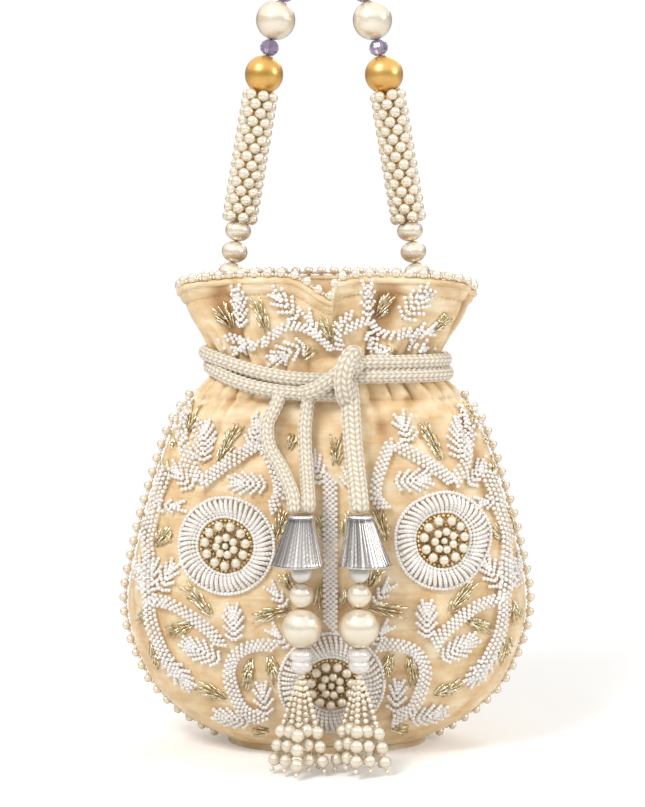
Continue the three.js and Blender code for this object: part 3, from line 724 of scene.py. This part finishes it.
for name, x, z, outer, inner in MEDALLIONS:
    ring = []
    spokes = round(2 * math.pi * (inner + outer) / 2 / SPOKE_PITCH)
    for i in range(spokes):
        angle = 2 * math.pi * i / spokes
        for k in range(SPOKE_BEADS):
            share = (k + 0.5) / SPOKE_BEADS
            reach = inner + 1.6 + (outer - inner - 3.2) * share
            swell = 0.8 + 2.0 * math.sin(math.pi * share) ** 0.7
            ring.append(seed_at(on_circle(x, z, reach, angle + 0.1 * share), swell))
    for border in (inner + 0.7, outer - 0.5):
        border_beads = round(2 * math.pi * border / SEED_PITCH)
        for i in range(border_beads):
            ring.append(seed_at(on_circle(x, z, border, 2 * math.pi * i / border_beads), 1.0))
    medallion = strew(f"{name}_medallion_beads", ball(7, 5), ring, white_glass)
    fasten(medallion, "root", f"{name}_medallion_ring")
    heart = []
    for reach, count, radius in HEART_ROWS:
        for i in range(count):
            angle = 2 * math.pi * i / count + reach
            place = on_silk(on_circle(x, z, reach, angle), radius + 1.1 - 0.07 * reach)[0]
            heart.append(bead_at(place, radius * MM))
    pearls = strew(f"{name}_heart_pearls", ball(16, 10), heart, pearl)
    fasten(pearls, "root", f"{name}_pearl_heart")
    nest = []
    for reach, count in NEST_ROWS:
        for i in range(count):
            nest.append(seed_at(on_circle(x, z, reach, 2 * math.pi * i / count), 0.8))
    gold_nest = strew(f"{name}_heart_nest", ball(7, 5), nest, gold_glass)
    fasten(gold_nest, "root")

# White leaves: short strings of seed beads fanned off a midrib like a feather, with one gold bugle
# bead for a vein. They grow off the vines and out of the hem flaps.
LEAF_ROW_STEP = 3.3
LEAF_SPREAD = 58
LEAF_TIP_SPREAD = 18
LEAF_HALF_WIDTH = 0.31
LEAF_MAX_HALF_WIDTH = 5.2
LEAF_TIP_BEADS = 3
MIRROR_PX = 660
MIRROR_RISE_PX = 3


def both_halves(pairs):
    """Each base and tip on the left half of the front silk, then mirrored on the right half."""
    for (base_x, base_y), (tip_x, tip_y) in pairs:
        yield "left", photo_spot(base_x, base_y), photo_spot(tip_x, tip_y)
        base = photo_spot(MIRROR_PX - base_x, base_y - MIRROR_RISE_PX)
        yield "right", base, photo_spot(MIRROR_PX - tip_x, tip_y - MIRROR_RISE_PX)


def leaf_seeds(base, tip):
    """Seed beads filling a leaf from its base to its tip, both flat on the silk."""
    length = (tip - base).length
    along = (tip - base) / length
    across = Vector((along.y, -along.x))
    half = min(LEAF_HALF_WIDTH * length, LEAF_MAX_HALF_WIDTH)
    rows = max(3, round(length / LEAF_ROW_STEP))
    seeds = []
    for j in range(rows):
        share = 0.06 + 0.74 * j / rows
        spread = math.radians(LEAF_SPREAD + (LEAF_TIP_SPREAD - LEAF_SPREAD) * j / (rows - 1))
        reach = half * math.sin(math.pi * (0.32 + 0.5 * share)) / math.sin(spread)
        count = min(5, max(2, round(reach / SEED_PITCH)))
        for side in (-1, 1):
            for k in range(count):
                out = 0.95 + SEED_PITCH * k
                spot = base + along * (share * length + out * math.cos(spread))
                seeds.append(seed_at(spot + across * side * out * math.sin(spread), 1.25 - 0.1 * k))
    for k in range(LEAF_TIP_BEADS):
        seeds.append(seed_at(tip - along * SEED_PITCH * (LEAF_TIP_BEADS - 1 - k), 1.1))
    return seeds


LEAVES = [
    ((200, 471), (203, 430)), ((192, 496), (171, 477)), ((267, 490), (232, 488)), ((248, 452), (260, 427)),
    ((156, 516), (178, 514)), ((144, 603), (133, 575)), ((158, 600), (173, 572)), ((148, 603), (150, 571)),
    ((234, 646), (233, 611)), ((221, 667), (183, 648)), ((161, 667), (190, 696)), ((265, 723), (261, 690)),
    ((250, 731), (214, 725)), ((286, 610), (272, 592)), ((290, 650), (273, 633)), ((170, 432), (178, 405)),
]
CENTRE_LEAVES = [((322, 490), (311, 462)), ((345, 492), (356, 464))]
FLAP_LEAVES = [
    ((239, 338), (236, 303)), ((299, 328), (274, 307)), ((306, 350), (269, 367)), ((368, 328), (367, 301)),
    ((403, 330), (427, 303)), ((407, 345), (432, 338)), ((366, 340), (382, 362)), ((410, 350), (426, 357)),
    ((254, 350), (232, 358)), ((318, 340), (308, 322)),
]
FLAP_STEMS = [
    [(220, 344), (237, 348), (255, 352), (273, 343), (289, 335), (308, 335), (324, 346), (332, 356)],
    [(344, 338), (367, 331), (380, 340), (393, 344), (408, 340), (426, 341)],
    [(353, 324), (341, 330), (338, 344), (343, 358)],
]
FLAP_STEM_WIDTH = 3.6
leaf_sets = {"left_leaves": [], "right_leaves": [], "flap_sprigs": []}
leaf_places = []
for half, base, tip in both_halves(LEAVES):
    leaf_places.append((f"{half}_leaves", base, tip))
for base, tip in CENTRE_LEAVES:
    leaf_places.append(("left_leaves", photo_spot(*base), photo_spot(*tip)))
for base, tip in FLAP_LEAVES:
    leaf_places.append(("flap_sprigs", photo_spot(*base), photo_spot(*tip)))
for name, base, tip in leaf_places:
    leaf_sets[name] += leaf_seeds(base, tip)
for line in FLAP_STEMS:
    leaf_sets["flap_sprigs"] += rope_seeds([photo_spot(px, py) for px, py in line], FLAP_STEM_WIDTH)
for name, seeds in leaf_sets.items():
    leaves = strew(name, ball(7, 5), seeds, white_glass)
    fasten(leaves, "root")

# Gold leaves: thin metal-lined bugle tubes laid like feathers, crossing a little, each sewn down by
# a stitch through its bore. One more is the vein of every white leaf.
BUGLE_LENGTH = 5.4
BUGLE_RADIUS = 0.4 * MM
BUGLE_STEP = 2.1
VEIN_SHARE = 0.45
VEIN_LIFT = 1.0
SPRAYS = [
    ((184, 442), (197, 409)), ((217, 470), (239, 427)), ((172, 457), (161, 441)), ((161, 498), (161, 466)),
    ((152, 555), (170, 535)), ((140, 552), (142, 520)), ((274, 548), (285, 511)), ((210, 620), (181, 586)),
    ((192, 629), (162, 642)), ((144, 616), (137, 641)), ((147, 652), (159, 683)), ((291, 612), (249, 621)),
    ((292, 594), (280, 572)), ((251, 663), (244, 698)), ((269, 660), (278, 690)), ((226, 705), (192, 693)),
    ((268, 742), (248, 744)),
]
CENTRE_SPRAYS = [
    ((335, 470), (336, 436)), ((329, 545), (312, 515)), ((345, 540), (352, 512)), ((319, 588), (324, 615)),
    ((288, 455), (294, 438)), ((346, 590), (343, 612)),
]
FLAP_SPRAYS = [
    ((226, 336), (211, 314)), ((267, 340), (253, 308)), ((332, 344), (323, 312)), ((379, 328), (396, 306)),
    ((431, 340), (451, 322)), ((385, 352), (396, 366)), ((300, 366), (314, 352)),
]
bugle_colours = [(0.35, (0.50, 0.39, 0.19)), (0.5, (0.80, 0.69, 0.45)), (0.66, (0.98, 0.93, 0.78))]
bugle_gold, bugle_shader = grained("bugle_gold", (0.8, 0.7, 0.48), 0.24, 500, 2, bugle_colours)
surface(bugle_shader, {"Metallic": 0.7})
hand = random.Random(7)


def bugle_between(tail_spot, tip_spot, lift):
    tail = on_silk(tail_spot, lift)[0]
    tip = on_silk(tip_spot, lift + 0.3)[0]
    return bead_at((tail + tip) / 2, BUGLE_RADIUS, tip - tail, (tip - tail).length / BUGLE_RADIUS / 2)


def spray_bugles(base, tip):
    """Bugle tubes feathered off a midrib from its base to its tip."""
    tubes = []
    length = (tip - base).length
    lean = math.atan2(tip.x - base.x, tip.y - base.y)
    steps = max(3, round(length / BUGLE_STEP))
    for i in range(steps):
        root = base + (tip - base) * (i / steps) * max(0.3, 1 - BUGLE_LENGTH / length)
        for side in (-1, 0, 1):
            if side == 0 and i % 2 == 0:
                continue
            way = lean + side * math.radians(hand.uniform(12, 27) - 8 * i / steps)
            across = Vector((math.cos(lean), -math.sin(lean))) * side * hand.uniform(0.3, 1.3)
            long = BUGLE_LENGTH * hand.uniform(0.85, 1.12)
            end = root + across + Vector((math.sin(way), math.cos(way))) * long
            tubes.append(bugle_between(root + across, end, 0.45 + 0.3 * (i % 3) + hand.uniform(0, 0.3)))
    return tubes


def bugle():
    """A bugle's model: a short six-sided tube of unit radius and half length."""
    shape = bmesh.new()
    bmesh.ops.create_cone(shape, cap_ends=True, segments=6, radius1=1, radius2=1, depth=2)
    return shape


bugles = {"left_gold_sprays": [], "right_gold_sprays": [], "flap_gold_sprays": [], "leaf_veins": []}
for half, base, tip in both_halves(SPRAYS):
    bugles[f"{half}_gold_sprays"] += spray_bugles(base, tip)
for base, tip in CENTRE_SPRAYS:
    bugles["left_gold_sprays"] += spray_bugles(photo_spot(*base), photo_spot(*tip))
for base, tip in FLAP_SPRAYS:
    bugles["flap_gold_sprays"] += spray_bugles(photo_spot(*base), photo_spot(*tip))
for name, base, tip in leaf_places:
    bugles["leaf_veins"].append(bugle_between(base, base + (tip - base) * VEIN_SHARE, VEIN_LIFT))
for name, tubes in bugles.items():
    feathers = strew(name, bugle(), tubes, bugle_gold)
    fasten(feathers, "root")

# Drawstring: soft cream cord, braided from flat yarns, taken twice round the neck and tied in front.
# Its two ends hang down as the tassels' tails, the left one doubled and the right one broad.
NECK_STRAND = 6.4
NECK_THICKNESS = 5.2
NECK_SPACING = 6.2
NECK_SIDE_Z = 180.6
NECK_RIGHT_Z = 177.6
NECK_LEFT_END_Z = 169.7
NECK_REACH = 4.3
NECK_TURN_STEPS = 60
KNOT_LEFT_X = 6
KNOT_RIGHT_X = 9
KNOT_REACH = 1.2
KNOT_THICKNESS = 5
KNOT_WRAP_WIDTH = 8.5
KNOT_CROSS_WIDTH = 7.5
cord_yarn, cord_tree, cord_shader = fresh_material("braided_cord", (0.93, 0.86, 0.70), 0.45)
# Painted shade: the cord's colour darkens in the grooves between the yarns and lightens on their crests.
yarn_groove_shade_colours = [(0.0, (0.52, 0.42, 0.29)), (0.45, (0.76, 0.69, 0.57)), (0.9, (0.90, 0.86, 0.77))]
painted_groove_shade = tone(cord_tree, mesh_value(cord_tree, "relief"), yarn_groove_shade_colours)
cord_tree.links.new(painted_groove_shade, cord_shader.inputs["Base Color"])
surface(cord_shader, {"Sheen Weight": 0.3, "Sheen Roughness": 0.4})
yarn_grain = mixed_noise(cord_tree, 1600, (1, 1, 1), 2)
raise_grain(cord_tree, cord_shader, yarn_grain, 0.35, 0.0002)
BRAID_AROUND = 50
BRAID_STEP = 0.48 * MM
BRAID_RELIEF = 0.5 * MM
BRAID_COLUMNS = 10
BRAID_END_ROWS = 4
BRAID_LAY = 2.7 * MM


def route(points):
    """A dense smooth line through a few chosen points, in metres."""
    return curve_through([Vector(p) * MM for p in points], 16)


def braided(name, line, width, thickness, outward):
    """A braided cord along a line, wider than it is thick, with its flat side facing outward."""
    places = spaced(line, BRAID_STEP)
    rows = len(places) - 1
    shape = bmesh.new()
    bmesh.ops.create_grid(shape, x_segments=BRAID_AROUND, y_segments=rows, size=1)
    height = shape.verts.layers.float.new("relief")
    for corner in shape.verts:
        angle = math.pi * (corner.co.x + 1)
        row = round((corner.co.y + 1) / 2 * rows)
        centre, along = places[row]
        out = outward(centre)
        side = along.cross(out).normalized()
        face = side.cross(along)
        run = row * BRAID_STEP / BRAID_LAY
        column, across = divmod(angle / (2 * math.pi) * BRAID_COLUMNS, 1.0)
        slope = across if column % 2 else 1 - across
        yarn = 0.5 + 0.5 * math.cos(2 * math.pi * (run + 0.75 * slope))
        crest = math.sin(math.pi * across) ** 0.4 * yarn**0.6
        # The crest is kept on the mesh for the painted shade between the yarns.
        corner[height] = crest
        relief = BRAID_RELIEF * (crest - 0.7)
        close = math.sqrt(min(1.0, min(row, rows - row) / BRAID_END_ROWS))
        reach_side = (width / 2 * MM + relief) * close
        reach_face = (thickness / 2 * MM + relief) * close
        corner.co = centre + side * reach_side * math.cos(angle) + face * reach_face * math.sin(angle)
    bmesh.ops.remove_doubles(shape, verts=shape.verts, dist=1e-6)
    bmesh.ops.recalc_face_normals(shape, faces=shape.faces)
    return link_piece(name, shape, cord_yarn)


def from_neck(place):
    return Vector((place.x, 2.0 * place.y, 0)).normalized()


def neck_line(drop):
    line = []
    for i in range(NECK_TURN_STEPS + 1):
        share = i / NECK_TURN_STEPS
        sag = smooth_share(share, 0, 0.25)
        right = smooth_share(share, 0.3, 0.7)
        z = NECK_LEFT_END_Z + (NECK_SIDE_Z - NECK_LEFT_END_Z) * sag
        z += (NECK_RIGHT_Z - NECK_SIDE_Z) * right - drop
        half_width, half_depth = half_sizes(z)
        by_knot = 1 - smooth_share(share, 0.02, 0.12) + smooth_share(share, 0.9, 0.99)
        reach = NECK_REACH + KNOT_REACH * by_knot
        first = -math.asin((KNOT_LEFT_X / (half_width + reach)) ** (FORM_POWER / 2))
        last = math.asin((KNOT_RIGHT_X / (half_width + reach)) ** (FORM_POWER / 2))
        angle = first + (2 * math.pi - last - first) * share
        x = -(half_width + reach) * rounded(math.sin(angle))
        y = -(half_depth + reach) * rounded(math.cos(angle))
        line.append(Vector((x, y, z)) * MM)
    return line


for turn_name, drop in (("upper", 0), ("lower", NECK_SPACING)):
    turn = braided(f"neck_turn_{turn_name}", neck_line(drop), NECK_STRAND, NECK_THICKNESS, from_neck)
    fasten(turn, "root", f"neck_cord_{turn_name}")

KNOT_WRAP = [
    (13.5, -28.5, 179), (11.5, -34, 181.5), (8.5, -38.2, 177.5), (7, -39.2, 170), (8, -37, 163),
    (9.5, -32.5, 160),
]
KNOT_CROSS = [(-12, -32, 163.5), (-5, -35, 166), (2, -36, 170.5), (8, -35, 175), (16, -32.5, 177)]
wrap = braided("knot_wrap", route(KNOT_WRAP), KNOT_WRAP_WIDTH, KNOT_THICKNESS, from_neck)
cross = braided("knot_cross", route(KNOT_CROSS), KNOT_CROSS_WIDTH, KNOT_THICKNESS, from_neck)
for loop in (wrap, cross):
    fasten(loop, "root")
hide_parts("drawstring_knot")

TAIL_ROUTES = [
    ("left_inner_cord", "left_tail", 6.2, 5.4,
     [(-7.5, -30.5, 165), (-9, -33, 157), (-10, -36, 148), (-9.6, -40.5, 137), (-8.8, -48, 127),
      (-8.3, -56, 120.5), (-8.2, -58, 116.5), (-8.2, -58, 113.7)]),
    ("left_outer_cord", "left_tail", 6.2, 5.4,
     [(-20, -29.5, 165), (-23.5, -33, 157), (-26.5, -35.5, 150), (-25.5, -39.5, 141), (-20, -46, 132),
      (-15.4, -55, 122.5), (-14.2, -58, 116.5), (-14.2, -58, 113.7)]),
    ("right_cord", "right_tail", 8.6, 5.2,
     [(9, -32.5, 170), (10.1, -34.5, 162), (10.6, -36.5, 153), (11.2, -40, 143), (12.2, -46, 132.5),
      (13.3, -55, 122.5), (13.8, -58, 116.5), (13.8, -58, 113.7)]),
]


def forward(place):
    return Vector((0, -1, 0.35)).normalized()


tails = {}
for node, body, width, thickness, points in TAIL_ROUTES:
    tail = braided(node.replace("_cord", "_tail"), route(points), width, thickness, forward)
    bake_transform(tail)
    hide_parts(node)
    tails[node] = (tail, width, route(points))

# Tassel caps: cones of fine silver wire laid in ribs, with a rolled ring at the top and bottom.
# Each is pulled over the end of its tail and held by the knot inside.
CONE_TOP_RADIUS = 5.2 * MM
CONE_FOOT_RADIUS = 11.8 * MM
CONE_RIBS = 40
CONE_GLINT_DASHES = 11
CONE_RIB_RELIEF = 0.3 * MM
CONE_WALL = 0.5 * MM
CONE_AROUND = 200
CONE_LEVELS = 22
hand = random.Random(11)
CONE_LEANS = {"left": -1.6 * MM, "right": 2.6 * MM}
silver, silver_tree, silver_shader = fresh_material("silver_wire", (0.8, 0.79, 0.77), 0.2)
surface(silver_shader, {"Metallic": 1.0})
# Painted glints and shade: the silver's colour goes from near black to bright by a number kept on the mesh,
# not by the lamps.
silver_glint_colours = [(0.0, (0.14, 0.11, 0.12)), (0.4, (0.50, 0.48, 0.47)), (0.8, (0.93, 0.91, 0.89))]
painted_silver_glints = tone(silver_tree, mesh_value(silver_tree, "painted_glint"), silver_glint_colours)
silver_tree.links.new(painted_silver_glints, silver_shader.inputs["Base Color"])
clear_colours = [(0.3, (0.88, 0.84, 0.79)), (0.7, (0.98, 0.96, 0.94))]
clear_glass, clear_shader = grained("clear_bead", (0.95, 0.92, 0.88), 0.1, 300, 2, clear_colours)
surface(clear_shader, {"Transmission Weight": 0.15, "Metallic": 0.2, "Coat Weight": 1.0, "IOR": 1.45})


def middle(node):
    low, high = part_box(node)
    return (Vector(low) + Vector(high)) / 2


def cone_cap(name, node, lean):
    low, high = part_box(node)
    centre = middle(node)
    height = high[2] - low[2]
    shape = bmesh.new()
    bmesh.ops.create_grid(shape, x_segments=CONE_AROUND, y_segments=CONE_LEVELS, size=1)
    painted_glint = shape.verts.layers.float.new("painted_glint")
    # Painted glints and shade: each rib gets a random brightness, dashes of sparkle along it and darker
    # grooves at its sides; the rolled rings are painted bright.
    rib_glints = [hand.uniform(0.25, 1.0) for rib in range(CONE_RIBS)]
    for corner in shape.verts:
        angle = math.pi * (corner.co.x + 1)
        down = (1 - corner.co.y) / 2
        radius = CONE_TOP_RADIUS + (CONE_FOOT_RADIUS - CONE_TOP_RADIUS) * down**1.1
        ring = hump(down, 0.985, 0.02) + hump(down, 0.03, 0.03)
        rib, across = divmod(angle / (2 * math.pi) * CONE_RIBS, 1.0)
        glint_dash = 0.5 + 0.5 * math.sin(2 * math.pi * CONE_GLINT_DASHES * down + 2.4 * rib)
        crown = math.sin(math.pi * across)
        shade = rib_glints[int(rib) % CONE_RIBS] * (0.72 + 0.28 * glint_dash) * (0.55 + 0.45 * crown)
        corner[painted_glint] = max(shade, min(1.0, ring))
        radius += CONE_RIB_RELIEF * (crown - 0.8) * max(0, 1 - ring) + 0.2 * MM * ring
        x = centre.x + lean * down + radius * math.cos(angle)
        corner.co = (x, centre.y + radius * math.sin(angle), high[2] - height * down)
    bmesh.ops.remove_doubles(shape, verts=shape.verts, dist=1e-7)
    bmesh.ops.recalc_face_normals(shape, faces=shape.faces)
    open_edges = [edge for edge in shape.edges if edge.is_boundary and edge.verts[0].co.z > centre.z]
    bmesh.ops.contextual_create(shape, geom=open_edges)
    piece = link_piece(name, shape, silver)
    wall = piece.modifiers.new("wall", "SOLIDIFY")
    wall.thickness = CONE_WALL
    wall.offset = -1
    return piece


# Tassel beads and fringe: a clear spacer, a pearl, a large pearl and a waisted lower bead on one
# thread, then strands of seed pearls that end in three pearls and a tip bead each.
STRANDS = 10
STRAND_OUTER_SPLAY = 14.2 * MM
STRAND_INNER_SPLAY = 11.4 * MM
STRAND_BACK_SPLAY = 9.5 * MM
STRAND_FRONT_SPLAY = 15.5 * MM
STRAND_SEED = 1.3 * MM
STRAND_PEARL = 3.15 * MM
STRAND_PEARLS = 3
STRAND_TIP = 1.1 * MM
STRAND_STEPS = 40
UPWARD = Vector((0, 0, 1))
LOBE_RISE = 2.2 * MM
LOBE_STRETCH = 0.76
TASSEL_BEADS = [
    ("clear_spacer", "spacer_bead", 4.5, clear_glass, "crystal"),
    ("upper_bead", "upper_pearl", 5.4, pearl, "pearl"),
    ("large_bead", "big_pearl", 8.8, pearl, "pearl"),
]
hung = {"left": [], "right": []}
for side_name in ("left", "right"):
    body = f"{side_name}_tail"
    cap = cone_cap(f"{side_name}_tassel_cap", f"{side_name}_cone_cap", CONE_LEANS[side_name])
    fasten(cap, body, f"{side_name}_cone_cap")
    hung[side_name].append(cap)
    for bead_name, node, radius, material, slot in TASSEL_BEADS:
        stretch = 0.95 if node == "spacer_bead" else 1.0
        spot = bead_at(middle(f"{side_name}_{node}"), radius * MM, UPWARD, stretch)
        strung_bead = strew(f"{side_name}_{bead_name}", ball(40, 26), [spot], material)
        fasten(strung_bead, body, f"{side_name}_{node}")
        hung[side_name].append(strung_bead)
    waist = middle(f"{side_name}_lower_bead")
    lobes = [bead_at(waist + LOBE_RISE * UPWARD, 5.0 * MM, UPWARD, LOBE_STRETCH),
             bead_at(waist - LOBE_RISE * UPWARD, 4.8 * MM, UPWARD, LOBE_STRETCH)]
    lower = strew(f"{side_name}_waisted_bead", ball(32, 18), lobes, clear_glass)
    fasten(lower, body, f"{side_name}_lower_bead")
    hung[side_name].append(lower)
    low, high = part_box(f"{side_name}_fringe")
    top = Vector((middle(f"{side_name}_fringe").x, middle(f"{side_name}_lower_bead").y, high[2]))
    beads = []
    for i in range(STRANDS):
        angle = 2 * math.pi * (i + 0.25) / STRANDS
        share = hand.uniform(0.92, 1.0) if i % 2 else hand.uniform(0.6, 0.75)
        outer = (math.cos(angle) < 0) == (side_name == "left")
        splay = STRAND_OUTER_SPLAY if outer else STRAND_INNER_SPLAY
        depth = STRAND_FRONT_SPLAY if math.sin(angle) < 0 else STRAND_BACK_SPLAY
        drop = high[2] - low[2] - hand.uniform(0, 2.5) * MM
        reach = Vector((splay * math.cos(angle), depth * math.sin(angle), 0)) * share
        tip = top + reach - Vector((0, 0, drop))
        bow = top + Vector((0.62 * (tip.x - top.x), 0.62 * (tip.y - top.y), -0.42 * drop))
        line = []
        for k in range(STRAND_STEPS + 1):
            t = k / STRAND_STEPS
            line.append(top * (1 - t) ** 2 + bow * 2 * t * (1 - t) + tip * t**2)
        length = sum((b - a).length for a, b in zip(line, line[1:]))
        fine = spaced(line, 0.1 * MM)
        pearls_length = 2 * STRAND_PEARL * STRAND_PEARLS
        stretch_seeds = length - pearls_length - 2 * STRAND_TIP
        count = round(stretch_seeds / (2 * STRAND_SEED))
        strung = [((k + 0.5) * stretch_seeds / count, STRAND_SEED, 0.95) for k in range(count)]
        for k in range(STRAND_PEARLS):
            at = stretch_seeds + (2 * k + 1) * STRAND_PEARL
            strung.append((at, STRAND_PEARL * (0.98 - 0.04 * k), 0.98))
        for at, radius, stretch in strung:
            place, along = fine[min(round(at / length * (len(fine) - 1)), len(fine) - 1)]
            beads.append(bead_at(place, radius, along, stretch))
        beads.append(bead_at(line[-1] + Vector((0, 0, STRAND_TIP)), STRAND_TIP))
    fringe = strew(f"{side_name}_fringe_beads", ball(12, 8), beads, pearl)
    fasten(fringe, body, f"{side_name}_fringe")
    hung[side_name].append(fringe)

for node, (tail, width, line) in tails.items():
    length = sum((b - a).length for a, b in zip(line, line[1:]))

# Handle: one wire-cored thread strung from side to side of the mouth. On each leg come three pearls,
# a tube woven from pearls, a gold pearl, a faceted lilac glass bead and a large pearl.
TUBE_ROWS = 15
TUBE_AROUND = 6
TUBE_PEARL = 2.6 * MM
TUBE_RING = 5.7 * MM
TUBE_CORE = 4.6 * MM
TUBE_LENGTH = 60.6 * MM
LEG_PEARL = 5.9 * MM
LEG_PITCH = 9.8 * MM
LEG_STRETCH = 0.83
GOLD_BEAD = 8.7 * MM
LARGE_PEARL = 8.9 * MM
LILAC_BEAD = 4.4 * MM
gold_pearl_colours = [(0.35, (0.64, 0.35, 0.075)), (0.65, (0.80, 0.49, 0.15))]
gold_pearl, gold_pearl_shader = grained("gold_pearl", (0.7, 0.4, 0.1), 0.33, 60, 3, gold_pearl_colours)
surface(gold_pearl_shader, {"Metallic": 0.75, "Coat Weight": 0.2, "Coat Roughness": 0.25})
lilac_colours = [(0.3, (0.27, 0.22, 0.40)), (0.7, (0.56, 0.50, 0.68))]
lilac, lilac_shader = grained("lilac_glass", (0.6, 0.52, 0.75), 0.02, 150, 1, lilac_colours)
surface(lilac_shader, {"Transmission Weight": 0.6, "IOR": 1.55})
core_colours = [(0.3, (0.70, 0.47, 0.18)), (0.7, (0.86, 0.66, 0.34))]
cream_core = grained("tube_core", (0.7, 0.58, 0.38), 0.7, 800, 2, core_colours)[0]


def one_bead(name, node, radius, material, along, stretch=1.0):
    piece = strew(name, ball(48, 32), [bead_at(middle(node), radius, along, stretch)], material)
    fasten(piece, "handle", node)


CRYSTAL_STRETCH = 0.88


def faceted(name, node, radius, along):
    """A cut glass bead: flat facets in rings, drilled along its thread."""
    shape = bmesh.new()
    spot = bead_at(middle(node), radius, along, CRYSTAL_STRETCH)
    bmesh.ops.create_uvsphere(shape, u_segments=9, v_segments=6, radius=1, matrix=spot)
    piece = link_piece(name, shape, lilac, smooth=False)
    fasten(piece, "handle", node)


for side_name in ("left", "right"):
    foot = middle(f"{side_name}_small_pearls")
    along = (middle(f"{side_name}_gold_bead") - foot).normalized()
    upper = (middle(f"{side_name}_large_pearl") - middle(f"{side_name}_gold_bead")).normalized()
    trio = [bead_at(foot + along * k * LEG_PITCH, LEG_PEARL, along, LEG_STRETCH) for k in (-1, 0, 1)]
    pearls = strew(f"{side_name}_leg_pearls", ball(36, 24), trio, pearl)
    fasten(pearls, "handle", f"{side_name}_small_pearls")
    centre = middle(f"{side_name}_pearl_tube")
    turn = along.to_track_quat("Z", "Y").to_matrix()
    woven = []
    for row in range(TUBE_ROWS):
        level = (row + 0.5) / TUBE_ROWS - 0.5
        for k in range(TUBE_AROUND):
            angle = 2 * math.pi * (k + 0.5 * (row % 2)) / TUBE_AROUND + 0.3
            out = Vector((math.cos(angle), math.sin(angle), 0))
            ring = TUBE_RING * out + Vector((0, 0, level * (TUBE_LENGTH - 1 * MM)))
            woven.append(bead_at(centre + turn @ ring, TUBE_PEARL, turn @ out))
    tube = strew(f"{side_name}_woven_tube", ball(14, 10), woven, pearl)
    fasten(tube, "handle", f"{side_name}_pearl_tube")
    core_shape = bmesh.new()
    bmesh.ops.create_cone(
        core_shape, cap_ends=True, segments=32, radius1=TUBE_CORE, radius2=TUBE_CORE,
        depth=TUBE_LENGTH - 5 * MM, matrix=Matrix.Translation(centre) @ turn.to_4x4())
    core = link_piece(f"{side_name}_tube_core", core_shape, cream_core)
    fasten(core, "handle")
    one_bead(f"{side_name}_gold_pearl", f"{side_name}_gold_bead", GOLD_BEAD, gold_pearl, upper)
    faceted(f"{side_name}_lower_glass", f"{side_name}_lower_crystal", LILAC_BEAD, upper)
    large = f"{side_name}_large_pearl"
    one_bead(f"{side_name}_large_handle_pearl", large, LARGE_PEARL, pearl, upper)
    faceted(f"{side_name}_upper_glass", f"{side_name}_upper_crystal", LILAC_BEAD, upper)
for i in range(1, 5):
    low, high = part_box(f"arch_pearl_{i}")
    one_bead(f"arch_bead_{i}", f"arch_pearl_{i}", (high[0] - low[0]) / 2, pearl, Vector((1, 0, 0)))

# Threads: waxed cream thread through every bead, with the handle's leaders tied in at the neck.
# The CAD solids have the true shape, so they only take the finish.
waxed_colours = [(0.3, (0.62, 0.52, 0.34)), (0.7, (0.84, 0.75, 0.58))]
waxed = grained("waxed_thread", (0.75, 0.65, 0.47), 0.5, 2000, 2, waxed_colours, (1, 1, 0.3))[0]
LEADERS = ["left_handle_leader", "right_handle_leader", "left_tassel_thread", "right_tassel_thread"]
for node in ["handle_thread"] + LEADERS:
    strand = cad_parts[node]
    strand.data.materials.clear()
    strand.data.materials.append(waxed)
